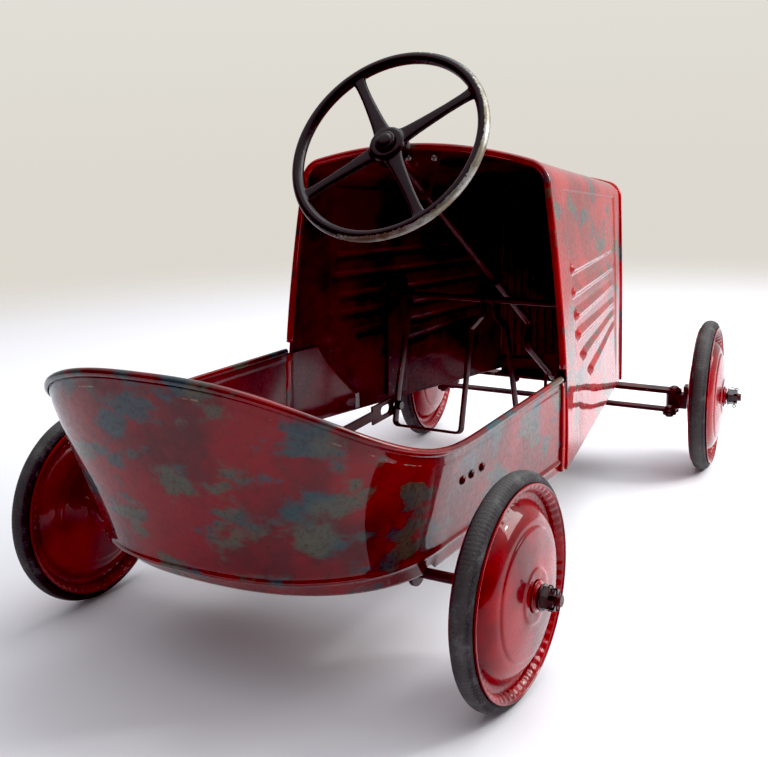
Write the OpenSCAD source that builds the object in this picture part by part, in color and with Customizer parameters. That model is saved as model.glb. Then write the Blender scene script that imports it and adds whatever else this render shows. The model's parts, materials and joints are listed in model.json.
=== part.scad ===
// Child's pedal car of pressed steel, in the style of the 1930s.
// Working frame: x to the car's right, y forwards from the rear axle, z up from the ground.
// car() moves that frame so that the origin is under the middle of the whole car.

/* [Wheels and track] */
// Radius over the solid tyre
wheel_r = 101.6; // [95:0.1:108]
// Width of the tyre
tyre_w = 19.6; // [16:0.1:22]
// Distance between the rear axle and the king pins
wheelbase = 695; // [680:1:710]
// Distance between the middle planes of the rear tyres
rear_track = 480; // [474:1:490]
// Distance between the king pins
king_pin_span = 342; // [336:1:348]
// Distance from a king pin to the middle plane of its tyre
king_to_wheel = 43; // [42.5:0.5:46]
// Angle that the front wheels are turned to the left at rest
rest_steer = 8; // [0:1:10]

/* [Cowl] */
// Where the rear edge of the cowl stands
cowl_rear_y = 282; // [278:1:286]
// Where the front of the cowl stands
cowl_front_y = 700; // [696:1:704]
// Half width of the cowl at its rear lower corner
cowl_rear_w = 181.4; // [180:0.1:184]
// Half width of the cowl at its front lower corner
cowl_front_w = 92; // [90:0.5:94]
// Height of the cowl's crown at the rear
cowl_rear_top = 455.7; // [452:0.1:460]
// Height of the cowl's crown at the front
cowl_front_top = 394.5; // [390:0.5:400]

/* [Tail] */
// Height of the level part of the tail's rim
rim_low = 219.3; // [215:0.1:222]
// Height of the rim at the back of the seat
rim_high = 302.2; // [290:0.1:310]
// Half width of the rim over the rear axle
rim_w = 188.5; // [186:0.1:190]
// How far the rim overhangs behind the rear axle
rim_back = 165.7; // [155:0.1:170]

/* [Steering] */
// Outer diameter of the steering wheel
wheel_d = 225.2; // [215:0.1:235]
// How far ahead of the rear axle the steering wheel's centre is
steer_y = 225.3; // [220:0.1:230]
// Height of the steering wheel's centre
steer_z = 458.3; // [455:0.1:462]
// Slope of the steering column, from level
column_tilt = 34.6; // [34:0.1:35]
// Turn of the spokes from the diagonal
spoke_turn = -8; // [-45:1:45]
// Radius of the crank at the foot of the column
steer_crank = 34; // [33:0.5:35]
// Length of the steering arms
steer_arm = 40; // [39:0.5:41]

/* [Pedals and crank] */
// How far ahead of the rear axle the pedals hang
pedal_y = 465; // [460:1:468]
// Height of the bar that the pedals hang from
pedal_z = 258; // [254:1:260]
// Throw of the crank axle
throw = 36; // [30:1:37]
// Distance from the pedal bar to the push rod's pivot
pedal_arm = 145; // [140:1:148]
// Distance from the pedal bar to the middle of the tread
tread_drop = 171; // [166:1:174]

/* [Hidden] */
$fn = 64;
run_gap = 0.06;                 // radial clearance of a running fit
fixed_gap = 0.02;               // radial clearance of a fixed fit
sheet = 2;                      // thickness of the cowl's sheet
tail_sheet = 1.8;               // thickness of the tail's sheet
wire_r = 3.5;                   // radius of the wired edges
axle_r = 5;                     // radius of both axles and of the column
bar_r = 4;                      // radius of the pedal bar and of the king pins
bolt_r = 3;                     // radius of the small bolts and pins
nut_x = 28;                     // from a tyre's middle plane to its axle nut
beam_bolt_x = 62;               // sideways place of the bolts through the axle beam
// Turn of the column at rest that matches the turned front wheels.
steer_rest_turn = asin(steer_arm * sin(rest_steer) / steer_crank);
lug_x = steer_crank * sin(steer_rest_turn);   // sideways place of the tie rod's lug at rest

// The origin's place along the car, half way between the rim's wire and the right front tyre.
tyre_bulge = 0.1;               // reach of the turned tyre's shoulder beyond its middle plane
front_reach = wheelbase + king_to_wheel * sin(rest_steer) + wheel_r * cos(rest_steer) + tyre_bulge;
rear_reach = rim_back - tail_sheet / 2 + wire_r;
mid_y = (front_reach - rear_reach) / 2;

module car() translate([0, -mid_y, 0]) children();

function lerp(a, b, t) = a + (b - a) * t;
function clamp01(t) = max(0, min(1, t));

// ---------- thin skins and wires ----------

// Closed skin between an outer and an inner grid of points.
module skin(outer, inner) {
  rows = len(outer);
  cols = len(outer[0]);
  under = rows * cols;
  function id(i, j) = i * cols + j;
  function quad(a, b, c, d) = [[a, b, c], [a, c, d]];
  polyhedron(
    points = concat([for (row = outer) each row], [for (row = inner) each row]),
    faces = concat(
      [for (i = [0:rows - 2], j = [0:cols - 2])
        each quad(id(i, j), id(i, j + 1), id(i + 1, j + 1), id(i + 1, j))],
      [for (i = [0:rows - 2], j = [0:cols - 2])
        each quad(under + id(i, j), under + id(i + 1, j),
                  under + id(i + 1, j + 1), under + id(i, j + 1))],
      [for (i = [0:rows - 2])
        each quad(id(i, 0), id(i + 1, 0), under + id(i + 1, 0), under + id(i, 0))],
      [for (i = [0:rows - 2]) let (a = id(i, cols - 1), b = id(i + 1, cols - 1))
        each quad(b, a, under + a, under + b)],
      [for (j = [0:cols - 2])
        each quad(id(0, j + 1), id(0, j), under + id(0, j), under + id(0, j + 1))],
      [for (j = [0:cols - 2]) let (a = id(rows - 1, j), b = id(rows - 1, j + 1))
        each quad(a, b, under + b, under + a)]
    ));
}

function unit(v) = v / norm(v);
function tangent(path, i) = unit(path[min(i + 1, len(path) - 1)] - path[max(i - 1, 0)]);

// Tube of eight sides along a path; side is a direction that the path never takes.
module wire(path, r, side) {
  sides = 8;
  last = len(path) - 1;
  rings = [for (i = [0:last])
    let (t = tangent(path, i), u = unit(cross(t, side)), w = cross(t, u))
    for (k = [0:sides - 1]) path[i] + r * (cos(k * 360 / sides) * u + sin(k * 360 / sides) * w)];
  polyhedron(points = rings, faces = concat(
    [[for (k = [sides - 1:-1:0]) k]],
    [for (i = [0:last - 1], k = [0:sides - 1]) let (n = (k + 1) % sides)
      each [[i * sides + k, i * sides + n, (i + 1) * sides + n],
            [i * sides + k, (i + 1) * sides + n, (i + 1) * sides + k]]],
    [[for (k = [0:sides - 1]) last * sides + k]]));
}

// Round rod bent along a path in the x-y plane, with a curved elbow at every corner.
module bent_rod(path, r, bend) {
  last = len(path) - 1;
  function heading(i) = let (d = path[i + 1] - path[i]) atan2(d[1], d[0]);
  function turn(i) = let (a = heading(i) - heading(i - 1)) a > 180 ? a - 360 : a < -180 ? a + 360 : a;
  function cut(i) = i == 0 || i == last ? 0 : bend * tan(abs(turn(i)) / 2);
  for (i = [0:last - 1]) translate(path[i]) rotate([0, 0, heading(i)]) translate([cut(i), 0, 0])
    rotate([0, 90, 0]) cylinder(r = r, h = norm(path[i + 1] - path[i]) - cut(i) - cut(i + 1));
  for (i = [1:last - 1]) {
    side = sign(turn(i));
    translate(path[i]) rotate([0, 0, heading(i - 1)]) translate([-cut(i), side * bend, 0])
      rotate([0, 0, side > 0 ? -90 : 90 + turn(i)]) rotate_extrude(angle = abs(turn(i)))
        translate([bend, 0]) circle(r = r);
  }
}

// ---------- cowl ----------

cowl_rake = 0.065;              // lean of the cowl's rear edge
cowl_belly = 1.7;               // power of the curve of its sides
// A section is [low half width, shoulder half width, low z, shoulder z, crown z, corner radius].
rear_section = [cowl_rear_w, cowl_rear_w - 28.9, 118, 412, cowl_rear_top, 28];
front_section = [cowl_front_w, cowl_front_w - 6, 112, 366, cowl_front_top, 20];
corner_end = 75;                // angle where the corner meets the crown

function inset(s, t) = [s[0] - t, s[1] - t, s[2], s[3], s[4] - t, s[5] - t];
function section_side(s, f) = [s[0] - (s[0] - s[1]) * pow(f, cowl_belly), lerp(s[2], s[3], f)];
function section_corner(s, a) = [s[1] - s[5] + s[5] * cos(a), s[3] + s[5] * sin(a)];
function section_crown(s, f) = let (e = section_corner(s, corner_end))
  [e[0] * f, s[4] - (s[4] - e[1]) * f * f];
function half_section(s) = concat(
  [for (i = [0:7]) section_side(s, i / 7)],
  [for (a = [15:15:corner_end]) section_corner(s, a)],
  [for (f = [0.8:-0.2:0]) section_crown(s, f)]);
function full_section(s) = let (h = half_section(s), n = len(h))
  concat(h, [for (i = [n - 2:-1:0]) [-h[i][0], h[i][1]]]);
function rear_edge_y(z) = cowl_rear_y + cowl_rake * (z - 240);
function cowl_row(t, off) = let (a = full_section(inset(rear_section, off)),
                                 b = full_section(inset(front_section, off)))
  [for (i = [0:len(a) - 1]) [lerp(a[i][0], b[i][0], t),
                             lerp(rear_edge_y(a[i][1]), cowl_front_y, t),
                             lerp(a[i][1], b[i][1], t)]];

// Half width of the cowl's outside at a place on its side.
function cowl_side(y, z) =
  let (t = (y - rear_edge_y(z)) / (cowl_front_y - rear_edge_y(z)),
       f = clamp01((z - lerp(rear_section[2], front_section[2], t))
         / (lerp(rear_section[3], front_section[3], t) - lerp(rear_section[2], front_section[2], t))))
  lerp(section_side(rear_section, f)[0], section_side(front_section, f)[0], t);

module cowl() color("firebrick") car()
  skin([for (t = [0:0.2:1]) cowl_row(t, 0)], [for (t = [0:0.2:1]) cowl_row(t, sheet)]);

// Rolled edge round the cowl's rear opening, down to the tail's rim on each side.
module cowl_rim_wire() color("firebrick") car() {
  low = rim_low + 4;
  low_w = cowl_side(rear_edge_y(low), low) - sheet;
  foot = [low_w, rear_edge_y(low), low];
  edge = [for (p = cowl_row(0, sheet)) if (p[2] > low) p];
  back = [0, wire_r + 0.1, 0];
  wire([for (p = concat([foot], edge, [[-foot[0], foot[1], foot[2]]])) p - back], wire_r, [0, 1, 0.3]);
}

module grille_panel() color("darkred") car() {
  outline = full_section(inset(front_section, sheet + 0.2));
  translate([0, cowl_front_y - 2, 0]) rotate([90, 0, 0]) linear_extrude(sheet) polygon(outline);
}

// Half-round beads that cover the joint between the cowl and the tail.
module pillar_beads() color("firebrick") car() {
  low = 120;
  high = rim_low - 2 * wire_r - 0.4;
  bead_r = 5;
  proud = 1.1;                  // from the sheet's chord out to the bead's flat back
  low_x = joint_w(joint_y, low) + proud;
  high_x = joint_w(joint_y, high) + proud;
  for (s = [0, 1]) mirror([s, 0, 0])
    translate([low_x, rear_edge_y(low) - bead_r - 1, low])
      rotate([-atan(cowl_rake), -atan((low_x - high_x) / (high - low)), 0]) difference() {
        cylinder(r = bead_r, h = high - low);
        translate([-20, -10, -1]) cube([20, 20, high - low + 2]);
      }
}

// ---------- tail ----------

bead_z = 123;                   // height of the bead above the tail's lower edge
rim_rise_y = 59.7;              // where the rim starts to rise
sheet_drop = 2 * wire_r + 0.8;  // from the top of the rim's wire down to the sheet's edge
joint_y = 281;                  // where the tail passes into the cowl

function rim_z(y) = let (rise = clamp01((rim_rise_y - y) / (rim_rise_y + rim_back)))
  rim_low + (rim_high - rim_low) * pow(rise, 2.6);
// A level of the tail: [half width, y where the curve starts, y at the back, power of the curve].
low_level = [164, 26, -108, 2.4];
bead_level = [167.6, 23.5, -127.2, 2.5];
rim_level = [rim_w, 0, -rim_back, 2.7];
function level(v) = v < 0 ? low_level : let (g = pow(v, 1.15)) [
  lerp(bead_level[0], rim_level[0], g), lerp(bead_level[1], rim_level[1], v),
  lerp(bead_level[2], rim_level[2], g), lerp(bead_level[3], rim_level[3], v)];
function level_z(v, y) = let (s = clamp01(y / joint_y)) v < 0
  ? lerp(104, 118.5, s)
  : lerp(bead_z + 6 * s, rim_z(y) - sheet_drop, v);
function joint_w(y, z) = cowl_side(max(y, joint_y), z) - sheet - 0.4;
// Front edge of the tail inside the cowl, cut as a curve.
function tail_front(z) = 320 + 75 * pow(clamp01((226 - z) / 87), 1.35);
tail_levels = [-1, 0, 0.15, 0.3, 0.45, 0.6, 0.75, 0.9, 1];

function tail_point(v, k, off) =
  let (l = level(v), w = l[0] - off, back = l[2] + off)
  k < 5 ? let (z = level_z(v, joint_y), y = lerp(tail_front(z), joint_y, k / 5))
    [joint_w(y, z) - off, y, z] :
  k < 14 ? let (s = (k - 5) / 9, y = lerp(joint_y, l[1], s), z = level_z(v, y))
    [lerp(joint_w(joint_y, z) - off, w, s), y, z] :
  let (a = (k - 14) * 90 / 24, y = l[1] - (l[1] - back) * pow(sin(a), 2 / l[3]))
    [w * pow(max(cos(a), 0), 2 / l[3]), y, level_z(v, y)];
function tail_half(v, off) = [for (k = [0:38]) tail_point(v, k, off)];
function tail_row(v, off) = let (h = tail_half(v, off))
  concat(h, [for (k = [37:-1:0]) [-h[k][0], h[k][1], h[k][2]]]);

module tail_panel() color("firebrick") car() difference() {
  skin([for (v = tail_levels) tail_row(v, 0)], [for (v = tail_levels) tail_row(v, tail_sheet)]);
  // Slots that clear the crank axle.
  translate([-200, 0, wheel_r]) rotate([0, 90, 0]) cylinder(r = axle_r + 3, h = 400);
}

module tail_rim_wire() color("firebrick") car() {
  rim = tail_row(1, tail_sheet / 2);
  wire([for (p = rim) if (p[1] < joint_y + 1) [p[0], min(p[1], joint_y - 8), rim_z(p[1]) - wire_r]],
       wire_r, [0, 0, 1]);
}

// ---------- front axle ----------

beam_z = 102;                   // underside of the axle beam
beam_t = 5;                     // its thickness
beam_w = 20;                    // its width

// Angle iron behind the front panel, with the axle beam bolted under it.
angle_t = 3;
module front_crossmember() color("maroon") car() {
  half = cowl_front_w - sheet - 1.5;
  back = cowl_front_y - 2 - sheet - 0.1 - angle_t;   // behind the front panel
  difference() {
    union() {
      translate([-half, back - 22, beam_z + beam_t]) cube([2 * half, 22 + angle_t, angle_t]);
      translate([-half, back, beam_z + beam_t]) cube([2 * half, angle_t, 24]);
    }
    for (s = [-1, 1]) translate([s * beam_bolt_x, beam_bolt_y, beam_z])
      cylinder(r = bolt_r + fixed_gap, h = 20);
  }
}
beam_bolt_y = wheelbase - 8;    // place of those bolts along the car

module axle_beam() color("maroon") car() translate([0, wheelbase, beam_z]) difference() {
  union() {
    translate([-king_pin_span / 2, -beam_w / 2, 0]) cube([king_pin_span, beam_w, beam_t]);
    for (s = [-1, 1]) translate([s * king_pin_span / 2, 0, 0]) cylinder(d = beam_w, h = beam_t);
  }
  for (s = [-1, 1]) {
    translate([s * king_pin_span / 2, 0, -1]) cylinder(r = bar_r + fixed_gap, h = beam_t + 2);
    translate([s * beam_bolt_x, beam_bolt_y - wheelbase, -1])
      cylinder(r = bolt_r + fixed_gap, h = beam_t + 2);
  }
}

module round_head(r, h) {
  // Shallow domed head standing on z = 0.
  ball = (r * r + h * h) / (2 * h);
  intersection() {
    translate([0, 0, h - ball]) sphere(r = ball);
    cylinder(r = r + 1, h = h + 1);
  }
}

module beam_bolts() color("maroon") car() for (s = [-1, 1])
  translate([s * beam_bolt_x, beam_bolt_y, 0]) {
    translate([0, 0, beam_z + beam_t + angle_t]) round_head(6, 3.5);
    translate([0, 0, beam_z - 4.1]) cylinder(r = 5.5, h = 4, $fn = 6);
    translate([0, 0, beam_z - 6]) cylinder(r = bolt_r, h = 6 + beam_t + angle_t + 0.2);
  }

module at_king_pin(side) translate([side * king_pin_span / 2, wheelbase, 0]) children();

// King pins with a domed head on the beam and a hexagon nut under the stub axle.
module king_pins() color("maroon") car() for (s = [-1, 1]) at_king_pin(s) {
  foot_z = 73;                  // lower end of the pin
  translate([0, 0, beam_z + beam_t]) round_head(8, 5);
  translate([0, 0, foot_z]) cylinder(r = bar_r, h = beam_z + beam_t - foot_z);
  translate([0, 0, foot_z + 2]) cylinder(r = 7, h = 5.5, $fn = 6);
}

arm_z = 82;                     // underside of the steering arms
arm_t = 4;                      // thickness of the steering arms and of the tie rod

// Stub axle in its own frame: the king pin is the z axis and the wheel is towards +x.
module stub_axle(side) color("maroon") car() at_king_pin(side) rotate([0, 0, rest_steer])
  mirror([side < 0 ? 1 : 0, 0, 0]) {
    plate_x = 13.2;
    plate_t = 4.6;
    difference() {
      union() {
        translate([0, 0, arm_z]) cylinder(r = 10.5, h = beam_z - arm_z - 0.4);
        translate([0, -9, arm_z]) cube([plate_x + 1, 18, beam_z - arm_z - 0.4]);
        translate([-7, -steer_arm, arm_z]) cube([14, steer_arm, arm_t]);
        translate([0, -steer_arm, arm_z]) cylinder(r = 9, h = arm_t);
      }
      translate([0, 0, arm_z - 1]) cylinder(r = bar_r + run_gap, h = beam_z);
      translate([0, -steer_arm, arm_z - 1]) cylinder(r = bolt_r + fixed_gap, h = arm_t + 2);
    }
    translate([plate_x, -9, arm_z]) cube([plate_t, 18, 31]);
    translate([plate_x + plate_t, 0, wheel_r]) rotate([0, 90, 0]) cylinder(r = 8, h = 1.2);
    translate([plate_x + plate_t, 0, wheel_r]) rotate([0, 90, 0])
      cylinder(r = axle_r, h = king_to_wheel + 45 - plate_x - plate_t);
  }
module stub_axle_left() stub_axle(-1);
module stub_axle_right() stub_axle(1);

// Pin that joins a steering arm to the tie rod.
module arm_pin(side) color("maroon") car() at_king_pin(side) rotate([0, 0, rest_steer])
  translate([0, -steer_arm, 0]) {
    translate([0, 0, arm_z + 2 * arm_t + 0.8]) round_head(6.5, 4);
    translate([0, 0, arm_z - 3]) cylinder(r = bolt_r, h = 4 + 2 * arm_t);
    translate([0, 0, arm_z - 3]) cylinder(r = 5, h = 2.9);
  }
module arm_pin_left() arm_pin(-1);
module arm_pin_right() arm_pin(1);

rod_x = steer_arm * sin(rest_steer);              // sideways place of the tie rod at rest
rod_y = wheelbase - steer_arm * cos(rest_steer);  // its place along the car at rest
rod_z = arm_z + arm_t + 0.4;                      // its underside

module tie_rod() color("maroon") car() translate([rod_x, rod_y, 0]) {
  half = king_pin_span / 2;
  translate([0, 0, rod_z]) difference() {
    union() {
      translate([-half, -7, 0]) cube([2 * half, 14, arm_t]);
      for (s = [-1, 1]) translate([s * half, 0, 0]) cylinder(r = 8, h = arm_t);
    }
    for (s = [-1, 1]) translate([s * half, 0, -1]) cylinder(r = bolt_r + run_gap, h = arm_t + 2);
  }
  // Upright lug with the slot that the column's crank works in.
  translate([-rod_x, 0, rod_z + arm_t]) difference() {
    translate([lug_x - 10, -1.5, 0]) cube([20, 3, 60]);
    translate([lug_x - axle_r - 0.6, -5, 14]) cube([2 * axle_r + 1.2, 10, 36]);
  }
}

// Slotted axle nut with a round flange on its inner face; its axis is x.
module castle_nut() rotate([0, 90, 0]) {
  nut_r = 10.5;                 // over the corners of the hexagon
  nut_h = 12.4;
  flange_r = 11.5;
  slot_w = 3.2;
  slot_z = 8;                   // from the inner face to the foot of the slots
  difference() {
    union() {
      cylinder(r = nut_r, h = nut_h, $fn = 6);
      cylinder(r = flange_r, h = 1.5);
    }
    translate([0, 0, -1]) cylinder(r = axle_r + fixed_gap, h = nut_h + 2);
    for (a = [0:60:120]) rotate([0, 0, a])
      translate([-nut_r - 1, -slot_w / 2, slot_z]) cube([2 * nut_r + 2, slot_w, nut_h]);
  }
}
module front_nut(side) color("dimgray") car() at_king_pin(side) rotate([0, 0, rest_steer])
  mirror([side < 0 ? 1 : 0, 0, 0]) translate([king_to_wheel + nut_x, 0, wheel_r]) castle_nut();
module front_nut_left() front_nut(-1);
module front_nut_right() front_nut(1);

// ---------- wheels ----------

hub_r = 11;                     // radius of the hub barrel
disc_t = 1.4;                   // thickness of the pressed discs
tyre_depth = 16.4;              // height of the tyre's oval section
tyre_mid = wheel_r - tyre_depth / 2;
// Outer face of a pressed disc from the trough to the hub: radius and distance from the middle plane.
disc_face = [[78, 1.5], [76.8, 2.8], [75, 5.6], [72, 9], [68, 12.2], [64, 14.4], [60, 15.7], [57.6, 16.2],
             [56.2, 17.4], [54, 18], [48, 19], [36, 20.6], [25, 21.6], [23.4, 22.6], [21.5, 23],
             [hub_r + 0.1, 23]];

// Point of the oval that lies a distance off the tyre's section, at an angle from its lowest point.
function channel(off, a) = [tyre_mid - (tyre_depth / 2 + off) * cos(a), (tyre_w / 2 + off) * sin(a)];

// One pressed disc: its outer flange cups half of the tyre, and its middle is domed.
module disc_half() {
  seat_gap = 0.08;
  foot = tyre_mid - tyre_depth / 2 - seat_gap;
  rotate_extrude() polygon(concat(
    [[foot, 0.1]],
    [for (a = [10:10:80]) channel(seat_gap, a)],
    [for (a = [80:-10:10]) channel(seat_gap + disc_t, a)],
    disc_face,
    [for (i = [len(disc_face) - 1:-1:0]) [disc_face[i][0], disc_face[i][1] - disc_t]]));
}

// Wheel pieces in the wheel's own frame: the axle is z and the outside of the car is +z.
module wheel_hub() difference() {
  union() {
    translate([0, 0, -23.4]) cylinder(r = hub_r, h = 23.4 + 26.5);
    translate([0, 0, 23.1]) cylinder(r = 14, h = 1.2);
  }
  translate([0, 0, -30]) cylinder(r = axle_r + run_gap, h = 70);
}
module wheel_tyre() rotate_extrude($fn = 96)
  polygon([for (a = [0:15:345]) [tyre_mid + tyre_depth / 2 * cos(a), tyre_w / 2 * sin(a)]]);

module rear_wheel_place(side) car() translate([side * rear_track / 2, 0, wheel_r])
  rotate([0, side * 90, 0]) children();
module front_wheel_place(side) car() at_king_pin(side) rotate([0, 0, rest_steer])
  translate([side * king_to_wheel, 0, wheel_r]) rotate([0, side * 90, 0]) children();

module rear_tyre_left() color("dimgray") rear_wheel_place(-1) wheel_tyre();
module rear_outer_disc_left() color("crimson") rear_wheel_place(-1) disc_half();
module rear_inner_disc_left() color("crimson") rear_wheel_place(-1) mirror([0, 0, 1]) disc_half();
module rear_hub_left() color("crimson") rear_wheel_place(-1) wheel_hub();
module rear_tyre_right() color("dimgray") rear_wheel_place(1) wheel_tyre();
module rear_outer_disc_right() color("crimson") rear_wheel_place(1) disc_half();
module rear_inner_disc_right() color("crimson") rear_wheel_place(1) mirror([0, 0, 1]) disc_half();
module rear_hub_right() color("crimson") rear_wheel_place(1) wheel_hub();
module front_tyre_left() color("dimgray") front_wheel_place(-1) wheel_tyre();
module front_outer_disc_left() color("crimson") front_wheel_place(-1) disc_half();
module front_inner_disc_left() color("crimson") front_wheel_place(-1) mirror([0, 0, 1]) disc_half();
module front_hub_left() color("crimson") front_wheel_place(-1) wheel_hub();
module front_tyre_right() color("dimgray") front_wheel_place(1) wheel_tyre();
module front_outer_disc_right() color("crimson") front_wheel_place(1) disc_half();
module front_inner_disc_right() color("crimson") front_wheel_place(1) mirror([0, 0, 1]) disc_half();
module front_hub_right() color("crimson") front_wheel_place(1) wheel_hub();

// ---------- steering ----------

// Column frame: z runs up the column towards the driver, x to the right.
module at_column() car() translate([0, steer_y, steer_z]) rotate([90 - column_tilt, 0, 0]) children();

rim_tube = 6.3;                 // radius of the steering wheel's rim
module steering_wheel() color("black") at_column() difference() {
  ring_r = wheel_d / 2 - rim_tube;
  union() {
    rotate_extrude($fn = 96) translate([ring_r, 0]) circle(r = rim_tube, $fn = 24);
    for (k = [0:3]) rotate([0, 0, 45 + spoke_turn + 90 * k]) translate([0, 0, -3.5])
      linear_extrude(6) polygon([[10, -9.5], [28, -8], [70, -5.8], [ring_r, -6.5],
                                 [ring_r, 6.5], [70, 5.8], [28, 8], [10, 9.5]]);
    translate([0, 0, -14]) cylinder(r = 20, h = 20);
    translate([0, 0, -22]) cylinder(r = 13, h = 9);
  }
  translate([0, 0, -23]) cylinder(r = axle_r + fixed_gap, h = 40);
}
module steering_cap() color("black") at_column() difference() {
  translate([0, 0, 6.05]) cylinder(r = 11.5, h = 6);
  translate([0, 0, 5]) cylinder(r = axle_r + fixed_gap, h = 4.5);
}

column_foot = 446;              // length of the column down to its crank
elbow_r = 9;                    // bend radius of the bent rods
// One rod with a crank at its foot, whose pin runs on in the column's direction.
module steering_column() color("maroon") at_column() rotate([0, 0, steer_rest_turn])
  rotate([90, 0, 90]) {
    pin_length = 111;
    bent_rod([[0, 9], [0, -column_foot], [-steer_crank, -column_foot],
              [-steer_crank, -column_foot - pin_length]], axle_r, elbow_r);
  }

// Stay between the pedal bar and the column.
module column_hanger() color("maroon") {
  along = (pedal_y - steer_y) * cos(column_tilt) - (pedal_z - steer_z) * sin(column_tilt);
  gap = (pedal_y - steer_y) * sin(column_tilt) + (pedal_z - steer_z) * cos(column_tilt);
  at_column() translate([0, 0, -along - 2]) difference() {
    union() {
      cylinder(r = 11, h = 4);
      translate([-4, gap + bar_r + 0.1, 0]) cube([8, -gap - bar_r, 4]);
    }
    translate([0, 0, -1]) cylinder(r = axle_r + run_gap, h = 6);
  }
}

module dash_bracket() color("maroon") car() {
  plate_y = 297;
  hole_z = steer_z - (plate_y + 1.5 - steer_y) * tan(column_tilt);
  top_z = cowl_rear_top - sheet - 1.6;
  difference() {
    union() {
      translate([0, plate_y + 3, 0]) rotate([90, 0, 0]) linear_extrude(3)
        polygon([[26, top_z], [-26, top_z], [-12, hole_z], [-10, hole_z - 6],
                 [10, hole_z - 6], [12, hole_z]]);
      translate([0, plate_y + 3, hole_z]) rotate([90, 0, 0]) cylinder(r = 12, h = 3);
    }
    translate([0, plate_y + 1.5, hole_z]) rotate([90 - column_tilt, 0, 0])
      translate([0, 0, -20]) cylinder(r = axle_r + run_gap, h = 40);
  }
}

module dash_bolts() color("silver") car() for (x = [-16, 16])
  translate([x, 297, cowl_rear_top - 14]) rotate([90, 0, 0]) round_head(4.5, 3);

// ---------- pedals, push rods and crank axle ----------

swing = asin(throw / pedal_arm);
bar_half = cowl_side(pedal_y, pedal_z) - sheet - 0.6;
rod_plane = 118.6;              // inner face of the push rods
rod_t = 3;                      // thickness of the push rods

module cross_bar() color("maroon") car() translate([-bar_half, pedal_y, pedal_z])
  rotate([0, 90, 0]) cylinder(r = bar_r, h = 2 * bar_half);

// Outline of a strip of thickness t bent along a path, with mitred corners.
function normal(a, b) = let (d = unit(b - a)) [-d[1], d[0]];
function mitre(path, i) = let (last = len(path) - 1,
                               n0 = normal(path[max(i - 1, 0)], path[max(i, 1)]),
                               n1 = normal(path[min(i, last - 1)], path[min(i + 1, last)]),
                               m = unit(n0 + n1))
  m / (m * n0);
function strip_outline(path, t) = concat(
  [for (i = [0:len(path) - 1]) path[i] + mitre(path, i) * t / 2],
  [for (i = [len(path) - 1:-1:0]) path[i] - mitre(path, i) * t / 2]);

// Pedal loop of flat bar, hanging from the pedal bar; side is -1 on the left.
module pedal(side) color("maroon") car() translate([0, pedal_y, pedal_z])
  rotate([side * swing, 0, 0]) mirror([side < 0 ? 1 : 0, 0, 0]) {
    bar_t = 3;
    inner = 7;                  // x of the inner leg at the bar
    outer = 111.5;              // x of the outer leg at the bar
    path = [[inner, 0], [inner, -22], [20, -38], [20, -tread_drop], [115.5, -tread_drop],
            [115.5, -120], [outer, -14], [outer, 0]];
    difference() {
      union() {
        translate([0, 6, 0]) rotate([90, 0, 0]) linear_extrude(12) polygon(strip_outline(path, bar_t));
        for (x = [inner, outer]) translate([x - bar_t / 2, 0, 0]) rotate([0, 90, 0])
          cylinder(r = 8, h = bar_t);
      }
      translate([-1, 0, 0]) rotate([0, 90, 0]) cylinder(r = bar_r + run_gap, h = 120);
      translate([110, 0, -pedal_arm]) rotate([0, 90, 0]) cylinder(r = bolt_r + fixed_gap, h = 9);
    }
  }
module pedal_left() pedal(-1);
module pedal_right() pedal(1);

module pedal_bolt(side) color("dimgray") car() translate([0, pedal_y, pedal_z])
  rotate([side * swing, 0, 0]) mirror([side < 0 ? 1 : 0, 0, 0]) translate([0, 0, -pedal_arm])
    rotate([0, 90, 0]) {
      translate([0, 0, 108.5]) cylinder(r = 6, h = 5, $fn = 6);
      translate([0, 0, 113]) cylinder(r = bolt_r, h = rod_plane - 0.5 - 113);
    }
module pedal_bolt_left() pedal_bolt(-1);
module pedal_bolt_right() pedal_bolt(1);

// Push rod from a crank pin to a pedal, with its slotted plate at the front.
module push_rod(side) color("maroon") {
  pin = [side * throw, wheel_r];
  knuckle = [pedal_y + side * throw, pedal_z - pedal_arm * cos(swing)];
  reach = norm(knuckle - pin);
  slope = atan2(knuckle[1] - pin[1], knuckle[0] - pin[0]);
  car() translate([side < 0 ? -rod_plane - rod_t : rod_plane, pin[0], pin[1]]) rotate([slope, 0, 0])
    difference() {
      union() {
        translate([0, 0, -6]) cube([rod_t, reach - 40, 12]);
        translate([0, reach - 56, -12]) cube([rod_t, 56, 24]);
        rotate([0, 90, 0]) cylinder(r = 10, h = rod_t);
        translate([0, reach, 0]) rotate([0, 90, 0]) cylinder(r = 9, h = rod_t);
      }
      translate([-1, 0, 0]) rotate([0, 90, 0]) cylinder(r = axle_r + run_gap, h = rod_t + 2);
      translate([-1, reach, 0]) rotate([0, 90, 0]) cylinder(r = 3.2, h = rod_t + 2);
      // Long window in the front plate.
      for (y = [18, 30]) translate([-1, reach - y, 0]) rotate([0, 90, 0]) cylinder(r = 6, h = rod_t + 2);
      translate([-1, reach - 30, -6]) cube([rod_t + 2, 12, 12]);
    }
}
module push_rod_left() push_rod(-1);
module push_rod_right() push_rod(1);

web_in = 106;                   // x of each throw's inner web
web_out = 134;                  // x of each throw's outer web

// One rod bent into two throws half a turn apart, the left one to the rear at rest.
module crank_axle() color("maroon") car() translate([0, 0, wheel_r]) {
  end = rear_track / 2 + 45;
  bent_rod([[-end, 0], [-web_out, 0], [-web_out, -throw], [-web_in, -throw], [-web_in, 0],
            [web_in, 0], [web_in, throw], [web_out, throw], [web_out, 0], [end, 0]], axle_r, elbow_r);
}
module rear_nuts() color("dimgray") car() for (s = [0, 1]) mirror([s, 0, 0])
  translate([rear_track / 2 + nut_x, 0, wheel_r]) castle_nut();

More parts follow.
